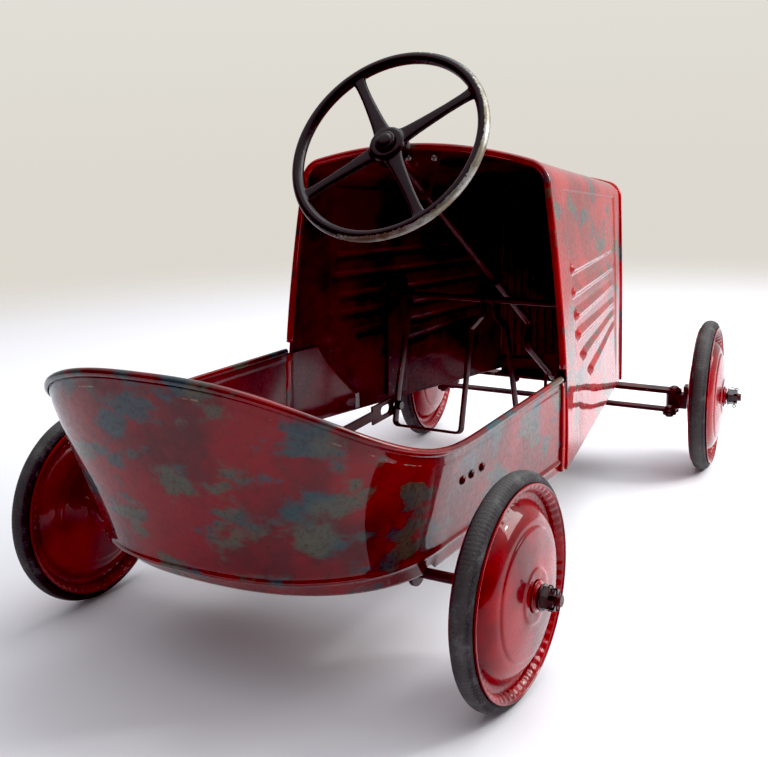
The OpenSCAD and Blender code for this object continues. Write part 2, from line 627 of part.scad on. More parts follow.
// ---------- seat and axle hangers ----------

seat_z = 152;                   // underside of the seat board
seat_t = 11;                    // its thickness
seat_front = 115;               // y of its front edge
rail_x = 152;                   // inner face of each rail's upright leg

module seat() color("saddlebrown") car() {
  seat_w = 163;
  back = -116;
  curve = [for (a = [0:7.5:90]) [seat_w * pow(max(cos(a), 0), 0.8), back * pow(sin(a), 0.8)]];
  translate([0, 0, seat_z]) linear_extrude(seat_t) polygon(concat(
    [[-seat_w, seat_front], [seat_w, seat_front]], curve,
    [for (i = [len(curve) - 2:-1:0]) [-curve[i][0], curve[i][1]]]));
}

module seat_rail(side) color("maroon") car() mirror([side < 0 ? 1 : 0, 0, 0]) {
  translate([rail_x, -40, 127]) cube([2.6, 140, seat_z - 127]);
  translate([rail_x - 16, -40, seat_z - 3]) cube([17, 140, 3]);
}
module seat_rail_left() seat_rail(-1);
module seat_rail_right() seat_rail(1);

module axle_bracket(side) color("maroon") car() mirror([side < 0 ? 1 : 0, 0, 0])
  translate([rail_x - 4, 0, 0]) rotate([90, 0, 90]) linear_extrude(4) difference() {
    union() {
      translate([0, wheel_r]) circle(r = 13);
      translate([-13, wheel_r]) square([26, seat_z - 4 - wheel_r]);
    }
    translate([0, wheel_r]) circle(r = axle_r + run_gap);
  }
module axle_bracket_left() axle_bracket(-1);
module axle_bracket_right() axle_bracket(1);

module bracket_bolts() color("dimgray") car() for (s = [0, 1], y = [-8, 8]) mirror([s, 0, 0])
  translate([rail_x - 4, y, 138]) rotate([0, -90, 0]) cylinder(r = 5, h = 3.5, $fn = 6);

// Round-headed rivets on the outside of the tail, level with the seat.
module side_rivets() color("dimgray") car() {
  rivet_z = 180;
  lean = 11.5;                  // lean of the tail's side there
  for (s = [0, 1], y = [32, 50, 72]) mirror([s, 0, 0])
    translate([tail_side_x(y, rivet_z) + 0.3, y, rivet_z]) rotate([0, 90 + lean, 0]) round_head(4.5, 2.5);
}
function tail_side_x(y, z) =
  let (v = (z - bead_z - 1) / (rim_low - sheet_drop - bead_z - 1), l = level(v))
  lerp(joint_w(joint_y, z), l[0], (joint_y - y) / (joint_y - l[1]));

// Upright strips on the cowl's walls that hold the ends of the pedal bar.
module side_braces() color("maroon") car() for (s = [0, 1]) mirror([s, 0, 0]) {
  low = 124;
  high = 276;
  inside = sheet + 0.5;
  low_x = cowl_side(pedal_y, low) - inside;
  high_x = cowl_side(pedal_y, high) - inside;
  taper = (cowl_side(pedal_y - 20, 200) - cowl_side(pedal_y + 20, 200)) / 40;
  difference() {
    translate([low_x, pedal_y, low]) rotate([0, -atan((low_x - high_x) / (high - low)), atan(taper)])
      translate([-4.4, -19, 0]) cube([3, 38, high - low]);
    translate([0, pedal_y, pedal_z]) rotate([0, 90, 0]) cylinder(r = bar_r + fixed_gap, h = 200);
  }
}

cowl();
cowl_rim_wire();
grille_panel();
tail_panel();
tail_rim_wire();
pillar_beads();
front_crossmember();
axle_beam();
beam_bolts();
king_pins();
side_braces();
cross_bar();
column_hanger();
dash_bracket();
dash_bolts();
seat();
seat_rail_left();
seat_rail_right();
axle_bracket_left();
axle_bracket_right();
bracket_bolts();
side_rivets();
steering_wheel();
steering_cap();
steering_column();
stub_axle_left();
stub_axle_right();
arm_pin_left();
arm_pin_right();
front_nut_left();
front_nut_right();
tie_rod();
crank_axle();
rear_nuts();
pedal_left();
pedal_right();
pedal_bolt_left();
pedal_bolt_right();
push_rod_left();
push_rod_right();
rear_tyre_left();
rear_outer_disc_left();
rear_inner_disc_left();
rear_hub_left();
rear_tyre_right();
rear_outer_disc_right();
rear_inner_disc_right();
rear_hub_right();
front_tyre_left();
front_outer_disc_left();
front_inner_disc_left();
front_hub_left();
front_tyre_right();
front_outer_disc_right();
front_inner_disc_right();
front_hub_right();
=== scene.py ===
"""Looks of the pedal car: its meshes, paints, stage, lights and camera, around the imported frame."""
import json
import math

import bmesh
import bpy
from mathutils import Matrix, Vector, noise

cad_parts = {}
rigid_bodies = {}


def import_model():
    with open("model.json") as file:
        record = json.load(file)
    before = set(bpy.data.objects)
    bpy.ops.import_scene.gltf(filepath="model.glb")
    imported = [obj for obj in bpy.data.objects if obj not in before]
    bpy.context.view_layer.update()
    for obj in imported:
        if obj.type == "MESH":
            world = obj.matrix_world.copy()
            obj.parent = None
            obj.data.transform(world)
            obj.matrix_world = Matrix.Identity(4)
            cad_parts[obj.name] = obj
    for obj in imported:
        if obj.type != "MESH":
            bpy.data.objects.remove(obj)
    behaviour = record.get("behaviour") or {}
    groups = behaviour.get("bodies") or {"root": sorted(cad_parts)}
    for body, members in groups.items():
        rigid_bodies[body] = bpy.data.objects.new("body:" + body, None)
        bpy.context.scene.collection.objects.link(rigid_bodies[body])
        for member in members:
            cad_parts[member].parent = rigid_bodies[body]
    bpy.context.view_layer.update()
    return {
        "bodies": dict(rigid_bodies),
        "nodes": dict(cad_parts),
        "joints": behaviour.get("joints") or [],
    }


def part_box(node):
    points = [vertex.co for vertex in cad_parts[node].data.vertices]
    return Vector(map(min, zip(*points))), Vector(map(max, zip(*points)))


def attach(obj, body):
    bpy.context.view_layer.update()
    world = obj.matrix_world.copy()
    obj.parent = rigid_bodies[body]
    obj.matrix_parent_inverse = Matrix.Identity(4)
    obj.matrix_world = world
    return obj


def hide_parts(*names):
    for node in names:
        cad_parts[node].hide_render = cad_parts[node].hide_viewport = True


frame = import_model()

MM = 0.001
TAU = 2 * math.pi
JOINTS = {joint["name"]: joint for joint in frame["joints"]}
view = bpy.context.scene.view_settings
view.view_transform = "Standard"
view.use_curve_mapping = True
view.curve_mapping.black_level = (0.008, 0.016, 0.014)
view.curve_mapping.update()


# ---------- places ----------

def middle(node):
    """Middle of a CAD node's box, in metres."""
    low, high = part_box(node)
    return (low + high) / 2


REAR_AXLE_Y = middle("rear_nuts").y


def car(x, y, z):
    """Millimetres from the point on the ground under the rear axle, as a place in the frame."""
    return Vector((x * MM, y * MM + REAR_AXLE_Y, z * MM))


def lerp(a, b, t):
    return a + (b - a) * t


def clamp01(t):
    return max(0.0, min(1.0, t))


def smooth(low, high, t):
    """0 below low, 1 above high, and a smooth step between."""
    t = clamp01((t - low) / (high - low))
    return t * t * (3 - 2 * t)


def spread(count):
    """count + 1 numbers from 0 to 1."""
    return [i / count for i in range(count + 1)]


# ---------- shader building ----------

def srgb(red, green, blue):
    """Screen colour from 0 to 255, as the linear colour that a socket takes."""
    def linear(c):
        c /= 255
        return c / 12.92 if c <= 0.04045 else ((c + 0.055) / 1.055) ** 2.4
    return (linear(red), linear(green), linear(blue), 1.0)


class Shader:
    """A node material under construction, with one Principled surface."""

    def __init__(self, name, **surface):
        self.material = bpy.data.materials.new(name)
        self.material.use_nodes = True
        self.tree = self.material.node_tree
        self.tree.nodes.clear()
        output = self.tree.nodes.new("ShaderNodeOutputMaterial")
        self.surface = self.tree.nodes.new("ShaderNodeBsdfPrincipled")
        self.tree.links.new(self.surface.outputs["BSDF"], output.inputs["Surface"])
        self.place = self.tree.nodes.new("ShaderNodeTexCoord").outputs["Object"]
        for socket, value in surface.items():
            self.put(self.surface.inputs[socket.replace("_", " ")], value)

    def put(self, socket, value):
        if isinstance(value, bpy.types.NodeSocket):
            self.tree.links.new(value, socket)
        else:
            socket.default_value = value

    def node(self, kind, out, inputs, **settings):
        node = self.tree.nodes.new(kind)
        for key, value in settings.items():
            setattr(node, key, value)
        for key, value in inputs.items():
            self.put(node.inputs[key], value)
        return node.outputs[out]

    def noise(self, scale, detail=3.0, rough=0.55, place=None):
        return self.node("ShaderNodeTexNoise", "Fac", {
            "Vector": place or self.place, "Scale": scale, "Detail": detail, "Roughness": rough})

    def stretched(self, x, y, z):
        """Object place stretched along each axis."""
        return self.node("ShaderNodeMapping", "Vector", {"Vector": self.place, "Scale": (x, y, z)})

    def math(self, operation, a, b=0.0):
        return self.node("ShaderNodeMath", 0, {0: a, 1: b}, operation=operation)

    def about_zero(self, value, gain):
        """A value that lies about 0.5, moved to lie about 0 and scaled by gain."""
        return self.math("MULTIPLY", self.math("SUBTRACT", value, 0.5), gain)

    def step(self, value, low, high, start=0.0, end=1.0):
        """Smooth step of a value from low to high."""
        return self.node("ShaderNodeMapRange", "Result", {
            "Value": value, "From Min": low, "From Max": high, "To Min": start, "To Max": end},
            interpolation_type="SMOOTHSTEP")

    def mix(self, factor, a, b):
        node = self.tree.nodes.new("ShaderNodeMix")
        node.data_type = "RGBA"
        self.put(node.inputs[0], factor)
        self.put(node.inputs[6], a)
        self.put(node.inputs[7], b)
        return node.outputs[2]

    def attribute(self, name):
        return self.node("ShaderNodeAttribute", "Fac", {}, attribute_name=name)

    def bump(self, height, distance, strength=1.0):
        normal = self.node("ShaderNodeBump", "Normal", {
            "Height": height, "Distance": distance, "Strength": strength})
        self.put(self.surface.inputs["Normal"], normal)
        return normal

    def finish(self, color, roughness=None):
        self.put(self.surface.inputs["Base Color"], color)
        if roughness is not None:
            self.put(self.surface.inputs["Roughness"], roughness)
        return self.material


# ---------- materials ----------

def old_paint(name, red, dark, patches, seed):
    """Lacquered red enamel, mottled dark, with blurred patches of primer and bare worn edges.
    patches is how far the primer spreads."""
    s = Shader(name, Coat_Weight=0.9, Coat_Roughness=0.05, Coat_IOR=1.42, Specular_IOR_Level=0.1)
    place = s.node("ShaderNodeMapping", "Vector", {
        "Vector": s.place, "Location": (seed, seed * 0.37, 0)})
    shifted = s.node("ShaderNodeMapping", "Vector", {
        "Vector": place, "Location": (3.1, 1.7, 5.3), "Scale": (1, 1, 1.5)})
    clouds = s.noise(12, 4, 0.6, place)
    blots = s.noise(17, 4, 0.58, shifted)
    fine = s.noise(210, 4, 0.7, place)
    grain = s.noise(900, 2, 0.5, place)
    color = s.mix(s.step(clouds, 0.36, 0.64), red, dark)
    color = s.mix(s.step(fine, 0.55, 0.75, 0, 0.5), color, srgb(48, 9, 9))
    ragged = s.math("ADD", blots, s.about_zero(fine, 0.12))
    tint = s.step(s.noise(16, 2, 0.5, place), 0.42, 0.6)
    primer = s.mix(tint, srgb(22, 70, 76), srgb(72, 80, 66))
    primer = s.mix(s.step(fine, 0.45, 0.7, 0, 0.6), primer, srgb(30, 34, 32))
    color = s.mix(s.step(ragged, 0.55 - patches, 0.65 - patches, 0, 0.9), color, primer)
    worn = s.math("ADD", s.attribute("worn"), s.about_zero(fine, 0.9))
    bare = s.mix(s.step(clouds, 0.4, 0.6), srgb(150, 146, 134), srgb(140, 112, 84))
    color = s.mix(s.step(worn, 0.55, 0.85, 0, 0.9), color, bare)
    s.bump(s.math("ADD", s.noise(38, 3, 0.6, place), s.math("MULTIPLY", grain, 0.12)), 0.0005, 0.3)
    return s.finish(color, s.step(fine, 0.3, 0.7, 0.34, 0.6))


def dusty_paint(name, red, dark, coat):
    """Thin, dull red paint on the inside of a sheet, with grime and rub marks."""
    s = Shader(name, Coat_Weight=coat, Coat_Roughness=0.16, Specular_IOR_Level=0.3)
    clouds = s.noise(12, 4, 0.6)
    fine = s.noise(260, 4, 0.7)
    streaks = s.noise(60, 3, 0.6, s.stretched(1, 0.12, 1))
    color = s.mix(s.step(clouds, 0.36, 0.64), red, dark)
    color = s.mix(s.step(fine, 0.52, 0.72, 0, 0.6), color, srgb(30, 10, 10))
    color = s.mix(s.step(streaks, 0.6, 0.74, 0, 0.5), color, srgb(112, 62, 58))
    s.bump(s.math("ADD", s.noise(40, 3), s.math("MULTIPLY", fine, 0.3)), 0.0005, 0.35)
    return s.finish(color, s.step(fine, 0.3, 0.7, 0.4, 0.68))


def wheel_paint():
    """Brighter red gloss with brownish runs, dust in the pleats and small chips."""
    s = Shader("wheel_paint", Coat_Weight=0.85, Coat_Roughness=0.045, Coat_IOR=1.36,
               Specular_IOR_Level=0.08)
    clouds = s.noise(16, 3, 0.5)
    fine = s.noise(260, 4, 0.7)
    color = s.mix(s.step(clouds, 0.35, 0.68), srgb(150, 6, 14), srgb(92, 7, 10))
    color = s.mix(s.step(fine, 0.62, 0.72, 0, 0.6), color, srgb(60, 14, 12))
    worn = s.math("ADD", s.attribute("worn"), s.about_zero(fine, 0.8))
    color = s.mix(s.step(worn, 0.6, 0.9, 0, 0.75), color, srgb(52, 20, 16))
    s.bump(s.noise(60, 3, 0.6), 0.0004, 0.3)
    return s.finish(color, s.step(fine, 0.3, 0.7, 0.25, 0.42))


def tyre_rubber():
    """Old black rubber, greyed and dusty, with fine cracks."""
    s = Shader("tyre_rubber", Specular_IOR_Level=0.35)
    clouds = s.noise(24, 4, 0.6)
    fine = s.noise(420, 4, 0.75)
    scuffs = s.math("ADD", s.noise(48, 5, 0.7), s.about_zero(fine, 0.4))
    color = s.mix(s.step(clouds, 0.35, 0.7), srgb(20, 22, 24), srgb(42, 46, 48))
    color = s.mix(s.step(fine, 0.5, 0.72, 0, 0.5), color, srgb(84, 87, 85))
    color = s.mix(s.step(scuffs, 0.52, 0.68, 0, 0.45), color, srgb(96, 99, 97))
    color = s.mix(s.step(s.attribute("worn"), 0.2, 1.0, 0, 0.25), color, srgb(104, 106, 102))
    cracks = s.node("ShaderNodeTexVoronoi", "Distance", {"Vector": s.place, "Scale": 320.0},
                    feature="DISTANCE_TO_EDGE")
    height = s.math("ADD", s.math("MULTIPLY", s.step(cracks, 0.0, 0.12), 0.5), fine)
    s.bump(height, 0.0005, 0.55)
    return s.finish(color, s.step(fine, 0.3, 0.7, 0.55, 0.82))


def chassis_paint():
    """Very dark maroon enamel on bar steel, with specks of rust and paler patches."""
    s = Shader("chassis_paint", Coat_Weight=0.35, Coat_Roughness=0.28, Specular_IOR_Level=0.25)
    clouds = s.noise(30, 4, 0.6)
    fine = s.noise(330, 4, 0.7)
    color = s.mix(s.step(clouds, 0.35, 0.65), srgb(74, 12, 18), srgb(42, 9, 12))
    color = s.mix(s.step(fine, 0.58, 0.7, 0, 0.8), color, srgb(74, 38, 26))
    color = s.mix(s.step(s.noise(85, 3), 0.64, 0.7, 0, 0.7), color, srgb(112, 92, 84))
    s.bump(fine, 0.0004, 0.5)
    return s.finish(color, s.step(fine, 0.3, 0.7, 0.36, 0.62))


def black_paint():
    """Black enamel that hands have worn to grey metal; on the steering wheel's rim the grey metal is
    also a painted highlight on its lit right side and top.
    """
    s = Shader("black_paint", Coat_Weight=0.3, Coat_Roughness=0.12, Coat_IOR=1.4,
               Specular_IOR_Level=0.2)
    fine = s.noise(240, 5, 0.75)
    coarse = s.noise(46, 4, 0.6)
    color = s.mix(s.step(fine, 0.5, 0.75, 0, 0.5), srgb(11, 12, 13), srgb(34, 35, 34))
    ragged = s.math("ADD", s.about_zero(fine, 1.5), s.about_zero(coarse, 0.9))
    worn = s.step(s.math("ADD", s.attribute("worn"), ragged), 0.52, 0.7)
    metal = s.mix(s.step(coarse, 0.42, 0.6), srgb(164, 164, 158), srgb(122, 116, 100))
    s.put(s.surface.inputs["Metallic"], s.math("MULTIPLY", worn, 0.55))
    s.bump(fine, 0.0005, 0.45)
    return s.finish(s.mix(worn, color, metal), s.step(fine, 0.3, 0.7, 0.26, 0.5))


def dark_steel():
    """Blackened steel of nuts and bolts, with oily highlights."""
    s = Shader("dark_steel", Metallic=0.6, Coat_Weight=0.5, Coat_Roughness=0.12)
    fine = s.noise(380, 4, 0.7)
    color = s.mix(s.step(s.noise(60, 3), 0.4, 0.65), srgb(30, 29, 30), srgb(62, 56, 52))
    color = s.mix(s.step(fine, 0.6, 0.72, 0, 0.7), color, srgb(88, 56, 38))
    s.bump(fine, 0.0003, 0.5)
    return s.finish(color, s.step(fine, 0.3, 0.7, 0.28, 0.5))


def bright_steel():
    """Dull plated steel."""
    s = Shader("bright_steel", Metallic=0.9)
    fine = s.noise(420, 4, 0.7)
    color = s.mix(s.step(fine, 0.4, 0.7), srgb(150, 148, 144), srgb(88, 80, 72))
    s.bump(fine, 0.0002, 0.4)
    return s.finish(color, s.step(fine, 0.3, 0.7, 0.3, 0.5))


def seat_wood():
    """Board stained red-brown, with grain along the car and worn pale by the sitter."""
    s = Shader("seat_wood", Coat_Weight=0.3, Coat_Roughness=0.3)
    waves = s.node("ShaderNodeTexWave", "Fac", {
        "Vector": s.stretched(1, 0.06, 1), "Scale": 34.0, "Distortion": 5.5, "Detail": 3.0,
        "Detail Scale": 1.4}, bands_direction="X")
    fine = s.noise(150, 4, 0.7, s.stretched(1, 0.08, 1))
    color = s.mix(waves, srgb(104, 46, 30), srgb(70, 28, 20))
    color = s.mix(s.step(fine, 0.5, 0.7, 0, 0.7), color, srgb(46, 20, 15))
    color = s.mix(s.step(s.noise(14, 3), 0.5, 0.7, 0, 0.5), color, srgb(150, 96, 66))
    s.bump(s.math("ADD", fine, s.math("MULTIPLY", waves, 0.4)), 0.0005, 0.5)
    return s.finish(color, s.step(fine, 0.3, 0.7, 0.45, 0.65))


COWL = old_paint("cowl_paint", srgb(168, 10, 16), srgb(128, 10, 12), 0.0, 2.0)
# Tail paint: a darker red than the cowl's, partly as painted shade on the tail's back, which faces
# away from the lamps.
TAIL_PAINT_SHADED = old_paint("tail_paint", srgb(128, 8, 10), srgb(76, 9, 8), 0.06, 0.0)
# Paint inside the cowl and behind the grille: dull and dirty, and much darker than the outside paint
# as painted shade in the hollow of the cowl.
COWL_INSIDE_SHADED = dusty_paint("cowl_inside_shaded", srgb(92, 7, 9), srgb(36, 6, 7), 0.15)
TAIL_INSIDE = dusty_paint("tail_inside", srgb(118, 18, 24), srgb(76, 14, 18), 0.7)
WHEEL = wheel_paint()
RUBBER = tyre_rubber()
CHASSIS = chassis_paint()
BLACK = black_paint()
STEEL = dark_steel()
BRIGHT = bright_steel()
WOOD = seat_wood()


# ---------- mesh building ----------

def add_piece(name, mesh, body, material, replaces=()):
    """Puts a mesh in the scene as a piece of the car."""
    mesh.materials.append(material)
    mesh.shade_smooth()
    piece = bpy.data.objects.new(name, mesh)
    bpy.context.scene.collection.objects.link(piece)
    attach(piece, body)
    if replaces:
        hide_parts(*replaces)
    return piece


def grid(name, rows, around=False, across=False, worn=None):
    """Mesh of quads over rows of places. around joins the last row to the first, across the last
    column to the first, and worn gives each place's wear."""
    count, width = len(rows), len(rows[0])
    points = [point for row in rows for point in row]
    faces = []
    for i in range(count if around else count - 1):
        for j in range(width if across else width - 1):
            i2, j2 = (i + 1) % count, (j + 1) % width
            faces.append((i * width + j, i * width + j2, i2 * width + j2, i2 * width + j))
    mesh = bpy.data.meshes.new(name)
    mesh.from_pydata(points, [], faces)
    if worn:
        layer = mesh.attributes.new("worn", "FLOAT", "POINT")
        layer.data.foreach_set("value", [value for row in worn for value in row])
    mesh.update()
    return mesh


def tidied(mesh, merge=1e-6):
    """Merges points that coincide, drops what bears no face and turns every face outwards."""
    bm = bmesh.new()
    bm.from_mesh(mesh)
    bmesh.ops.remove_doubles(bm, verts=bm.verts, dist=merge)
    bmesh.ops.delete(bm, geom=[edge for edge in bm.edges if not edge.link_faces], context="EDGES")
    bmesh.ops.delete(bm, geom=[vert for vert in bm.verts if not vert.link_faces], context="VERTS")
    bmesh.ops.recalc_face_normals(bm, faces=bm.faces)
    bm.to_mesh(mesh)
    bm.free()
    return mesh


def joined(name, meshes):
    """One mesh made of several."""
    bm = bmesh.new()
    for mesh in meshes:
        bm.from_mesh(mesh)
        bpy.data.meshes.remove(mesh)
    mesh = bpy.data.meshes.new(name)
    bm.to_mesh(mesh)
    bm.free()
    return mesh


def turned(profile, turn, matrix):
    """Places of a profile of (radius, height) in mm, turned about matrix's z axis."""
    return [matrix @ (Vector((r * math.cos(turn), r * math.sin(turn), h)) * MM) for r, h in profile]


def revolve(name, profile, segments, matrix):
    """Solid turned from a closed profile about matrix's z axis."""
    rows = [turned(profile, TAU * k / segments, matrix) for k in range(segments)]
    worn = [[0.0] * len(profile)] * segments
    return tidied(grid(name, rows, around=True, across=True, worn=worn))


def rounded(points, radius, steps=6):
    """The path with each corner replaced by an arc."""
    path = [Vector(points[0])]
    for before, corner, after in zip(points, points[1:], points[2:]):
        corner = Vector(corner)
        back = Vector(before) - corner
        ahead = Vector(after) - corner
        half = back.angle(ahead) / 2
        cut = min(radius / math.tan(half), back.length * 0.48, ahead.length * 0.48)
        back.normalize()
        ahead.normalize()
        start, end = corner + back * cut, corner + ahead * cut
        bow = cut * math.tan(half)
        centre = corner + (back + ahead).normalized() * (bow / math.sin(half))
        for t in spread(steps):
            direction = (start - centre).slerp(end - centre, t)
            path.append(centre + direction.normalized() * bow)
    path.append(Vector(points[-1]))
    return path


def turns(count):
    """Angles of count equal steps round a full turn."""
    return [TAU * k / count for k in range(count)]


def circle(radius, count=16):
    return [(radius * math.cos(turn), radius * math.sin(turn)) for turn in turns(count)]


def flat_bar(width, thickness, edge=0.7):
    """Rounded rectangle, thin along its first axis and wide along its second."""
    outline = []
    for cx, cy, start in ((1, 1, 0), (-1, 1, 1), (-1, -1, 2), (1, -1, 3)):
        for k in range(4):
            turn = math.pi / 2 * (start + k / 3)
            outline.append((cx * (thickness / 2 - edge) + edge * math.cos(turn),
                            cy * (width / 2 - edge) + edge * math.sin(turn)))
    return outline


def sweep(name, path, outline, side, ring=False, worn=None):
    """Bar with an outline in mm, swept along a path in metres. side is its second axis."""
    side = Vector(side)
    last = len(path) - 1
    rows = []
    for i, point in enumerate(path):
        before = path[i - 1] if (i or ring) else point
        after = path[(i + 1) % len(path)] if (i < last or ring) else point
        ahead = (after - before).normalized()
        first = side.cross(ahead).normalized()
        second = ahead.cross(first)
        rows.append([point + (first * u + second * v) * MM for u, v in outline])
    wear = [[worn(i / last)] * len(outline) for i in range(len(path))] if worn else None
    mesh = grid(name, rows, around=ring, across=True, worn=wear)
    if not ring:
        bm = bmesh.new()
        bm.from_mesh(mesh)
        bm.verts.ensure_lookup_table()
        count = len(outline)
        bm.faces.new([bm.verts[k] for k in range(count)])
        bm.faces.new([bm.verts[last * count + k] for k in range(count)])
        bm.to_mesh(mesh)
        bm.free()
    return tidied(mesh)


def sheet_of(piece, thickness, inside):
    """Gives a single skin its sheet's thickness, inwards, with closed edges and an inner paint."""
    piece.data.materials.append(inside)
    solid = piece.modifiers.new("sheet", "SOLIDIFY")
    solid.thickness = thickness * MM
    solid.offset = -1
    solid.use_rim = True
    solid.material_offset = 1
    return piece


def eased(node, body, material, edge=0.45):
    """A copy of a CAD node with its sharp edges rounded, which stands for the node."""
    bm = bmesh.new()
    bm.from_mesh(frame["nodes"][node].data)
    bmesh.ops.remove_doubles(bm, verts=bm.verts, dist=1e-6)
    bmesh.ops.dissolve_limit(bm, angle_limit=math.radians(0.5), verts=bm.verts, edges=bm.edges)
    sharp = [edge for edge in bm.edges
             if len(edge.link_faces) == 2 and edge.calc_face_angle() > math.radians(28)]
    bmesh.ops.bevel(bm, geom=sharp, offset=edge * MM, segments=2, profile=0.6, affect="EDGES",
                    clamp_overlap=True)
    bmesh.ops.recalc_face_normals(bm, faces=bm.faces)
    mesh = bpy.data.meshes.new(node)
    bm.to_mesh(mesh)
    bm.free()
    piece = add_piece("eased_" + node, mesh, body, material, [node])
    piece.modifiers.new("shading", "WEIGHTED_NORMAL").keep_sharp = True
    return piece


def body_of(node):
    """Name of the body that a CAD node rides on."""
    home = frame["nodes"][node].parent
    return next(name for name, empty in frame["bodies"].items() if empty == home)


def pressed(rows, press, outward):
    """Moves each place of a grid along the surface's normal by press(i, j), in mm. outward gives
    the side that the normal points to."""
    result = []
    last, width = len(rows) - 1, len(rows[0]) - 1
    for i, row in enumerate(rows):
        moved = []
        for j, point in enumerate(row):
            height = press(i, j)
            if height:
                along = row[min(j + 1, width)] - row[max(j - 1, 0)]
                across = rows[min(i + 1, last)][j] - rows[max(i - 1, 0)][j]
                normal = along.cross(across)
                if normal.length_squared > 0:
                    normal.normalize()
                    facing = 1 if normal.dot(outward(point)) > 0 else -1
                    point = point + normal * (height * MM * facing)
            moved.append(point)
        result.append(moved)
    return result


def lumps(x, y, z, size, seed):
    """Smooth noise from about -1 to 1, with lumps of the given size in mm."""
    return noise.noise(Vector((x / size + seed, y / size, z / size)))


# ---------- cowl ----------

# A section is low half width, shoulder half width, low z, shoulder z, crown z and corner radius.
REAR_SECTION = (181.4, 152.5, 118, 412, 455.7, 28)
FRONT_SECTION = (92, 86, 112, 366, 394.5, 20)
COWL_FRONT_Y = 700
SHEET = 2.0
RIB_PITCH = 12
SIDE_STEPS, CORNER_STEPS, CROWN_STEPS, LENGTH_STEPS = 190, 14, 18, 150


def half_section(section, inset=0.0, side_steps=SIDE_STEPS, corner_steps=CORNER_STEPS,
                 crown_steps=CROWN_STEPS):
    """Right half of a section, from its lower edge to the middle of its crown, as (x, z) in mm."""
    low_w, high_w, low_z, high_z, crown_z, corner = section
    low_w, high_w, crown_z, corner = low_w - inset, high_w - inset, crown_z - inset, corner - inset
    points = [(low_w - (low_w - high_w) * f ** 1.7, lerp(low_z, high_z, f))
              for f in spread(side_steps)]
    for f in spread(corner_steps)[1:]:
        turn = math.radians(75 * f)
        points.append((high_w - corner + corner * math.cos(turn), high_z + corner * math.sin(turn)))
    end_x, end_z = points[-1]
    points += [(end_x * (1 - f), crown_z - (crown_z - end_z) * (1 - f) ** 2)
               for f in spread(crown_steps)[1:]]
    return points


def full_section(section, inset=0.0, *steps):
    half = half_section(section, inset, *steps)
    return half + [(-x, z) for x, z in half[-2::-1]]


def rear_edge_y(z):
    return 282 + 0.065 * (z - 240)


# Each louvre: y and z of its steep rear end, then z of its front end, in mm.
LOUVRES = [(352, 319, 305), (347, 294, 281), (360, 267, 258), (364, 244, 234), (391, 216, 218),
           (440, 187, 203)]
LOUVRE_END_Y = 650
# At a louvre's rear end and at its front end.
LOUVRE_RISE, LOUVRE_HALF_WIDTH = (4.0, 2.2), (7.6, 5.5)
RECESS_Y, RECESS_DEPTH = (343, 656), 1.5


def louvre(y, z):
    """Height in mm of the louvre at a place on the cowl's side, and how near it is to the crest."""
    for rear_y, rear_z, end_z in LOUVRES:
        s = (y - rear_y) / (LOUVRE_END_Y - rear_y)
        if 0 <= s <= 1:
            away = abs(z - lerp(rear_z, end_z, s)) / lerp(*LOUVRE_HALF_WIDTH, s)
            if away < 1:
                rise = lerp(*LOUVRE_RISE, s) * (1 - smooth(0.9, 1, s))
                return rise * (1 - away * away) ** 1.5, 1 - away
    return 0.0, 0.0


def recess(y, z):
    """1 inside the pressed panel of the cowl's side, 0 outside it."""
    rear, front = RECESS_Y
    arch = smooth(400, 520, y) * (1 - smooth(520, 650, y))
    top = lerp(409, 386, clamp01((y - 344) / 305)) + 4 * arch
    return (smooth(rear, rear + 5, y) * (1 - smooth(front - 5, front, y))
            * smooth(118, 165, z) * (1 - smooth(top - 5, top, z)))


def build_cowl():
    rear, front = full_section(REAR_SECTION), full_section(FRONT_SECTION)
    right_top, left_top = SIDE_STEPS, len(rear) - 1 - SIDE_STEPS
    rows, mm_rows = [], []
    for t in spread(LENGTH_STEPS):
        mm = [(lerp(a[0], b[0], t), lerp(rear_edge_y(a[1]), COWL_FRONT_Y, t), lerp(a[1], b[1], t))
              for a, b in zip(rear, front)]
        mm_rows.append(mm)
        rows.append([car(*place) for place in mm])
    heights, worn = [], []
    for row in mm_rows:
        line, wear = [], []
        for j, (x, y, z) in enumerate(row):
            on_side = j < right_top or j > left_top
            rise, crest = louvre(y, z) if on_side else (0.0, 0.0)
            dent = 0.55 * lumps(x, y, z, 75, 1.0) + 0.12 * lumps(x, y, z, 24, 4.0)
            line.append(rise + dent - (RECESS_DEPTH * recess(y, z) if on_side else 0))
            low_z = row[0][2]
            edge = (0.5 * (1 - smooth(0, 5, y - rear_edge_y(z)))
                    + 0.35 * (1 - smooth(0, 7, z - low_z)))
            ridge = smooth(0.45, 0.9, crest) * smooth(LOUVRE_END_Y - 230, LOUVRE_END_Y - 60, y)
            wear.append(max(0.62 * ridge, edge))
        heights.append(line)
        worn.append(wear)

    rows = pressed(rows, lambda i, j: heights[i][j], lambda p: p - Vector((0, p.y, 0.25)))
    mesh = tidied(grid("cowl_sheet", rows, worn=worn))
    skin = add_piece("cowl_sheet", mesh, "root", COWL, ["cowl"])
    sheet_of(skin, SHEET, COWL_INSIDE_SHADED)


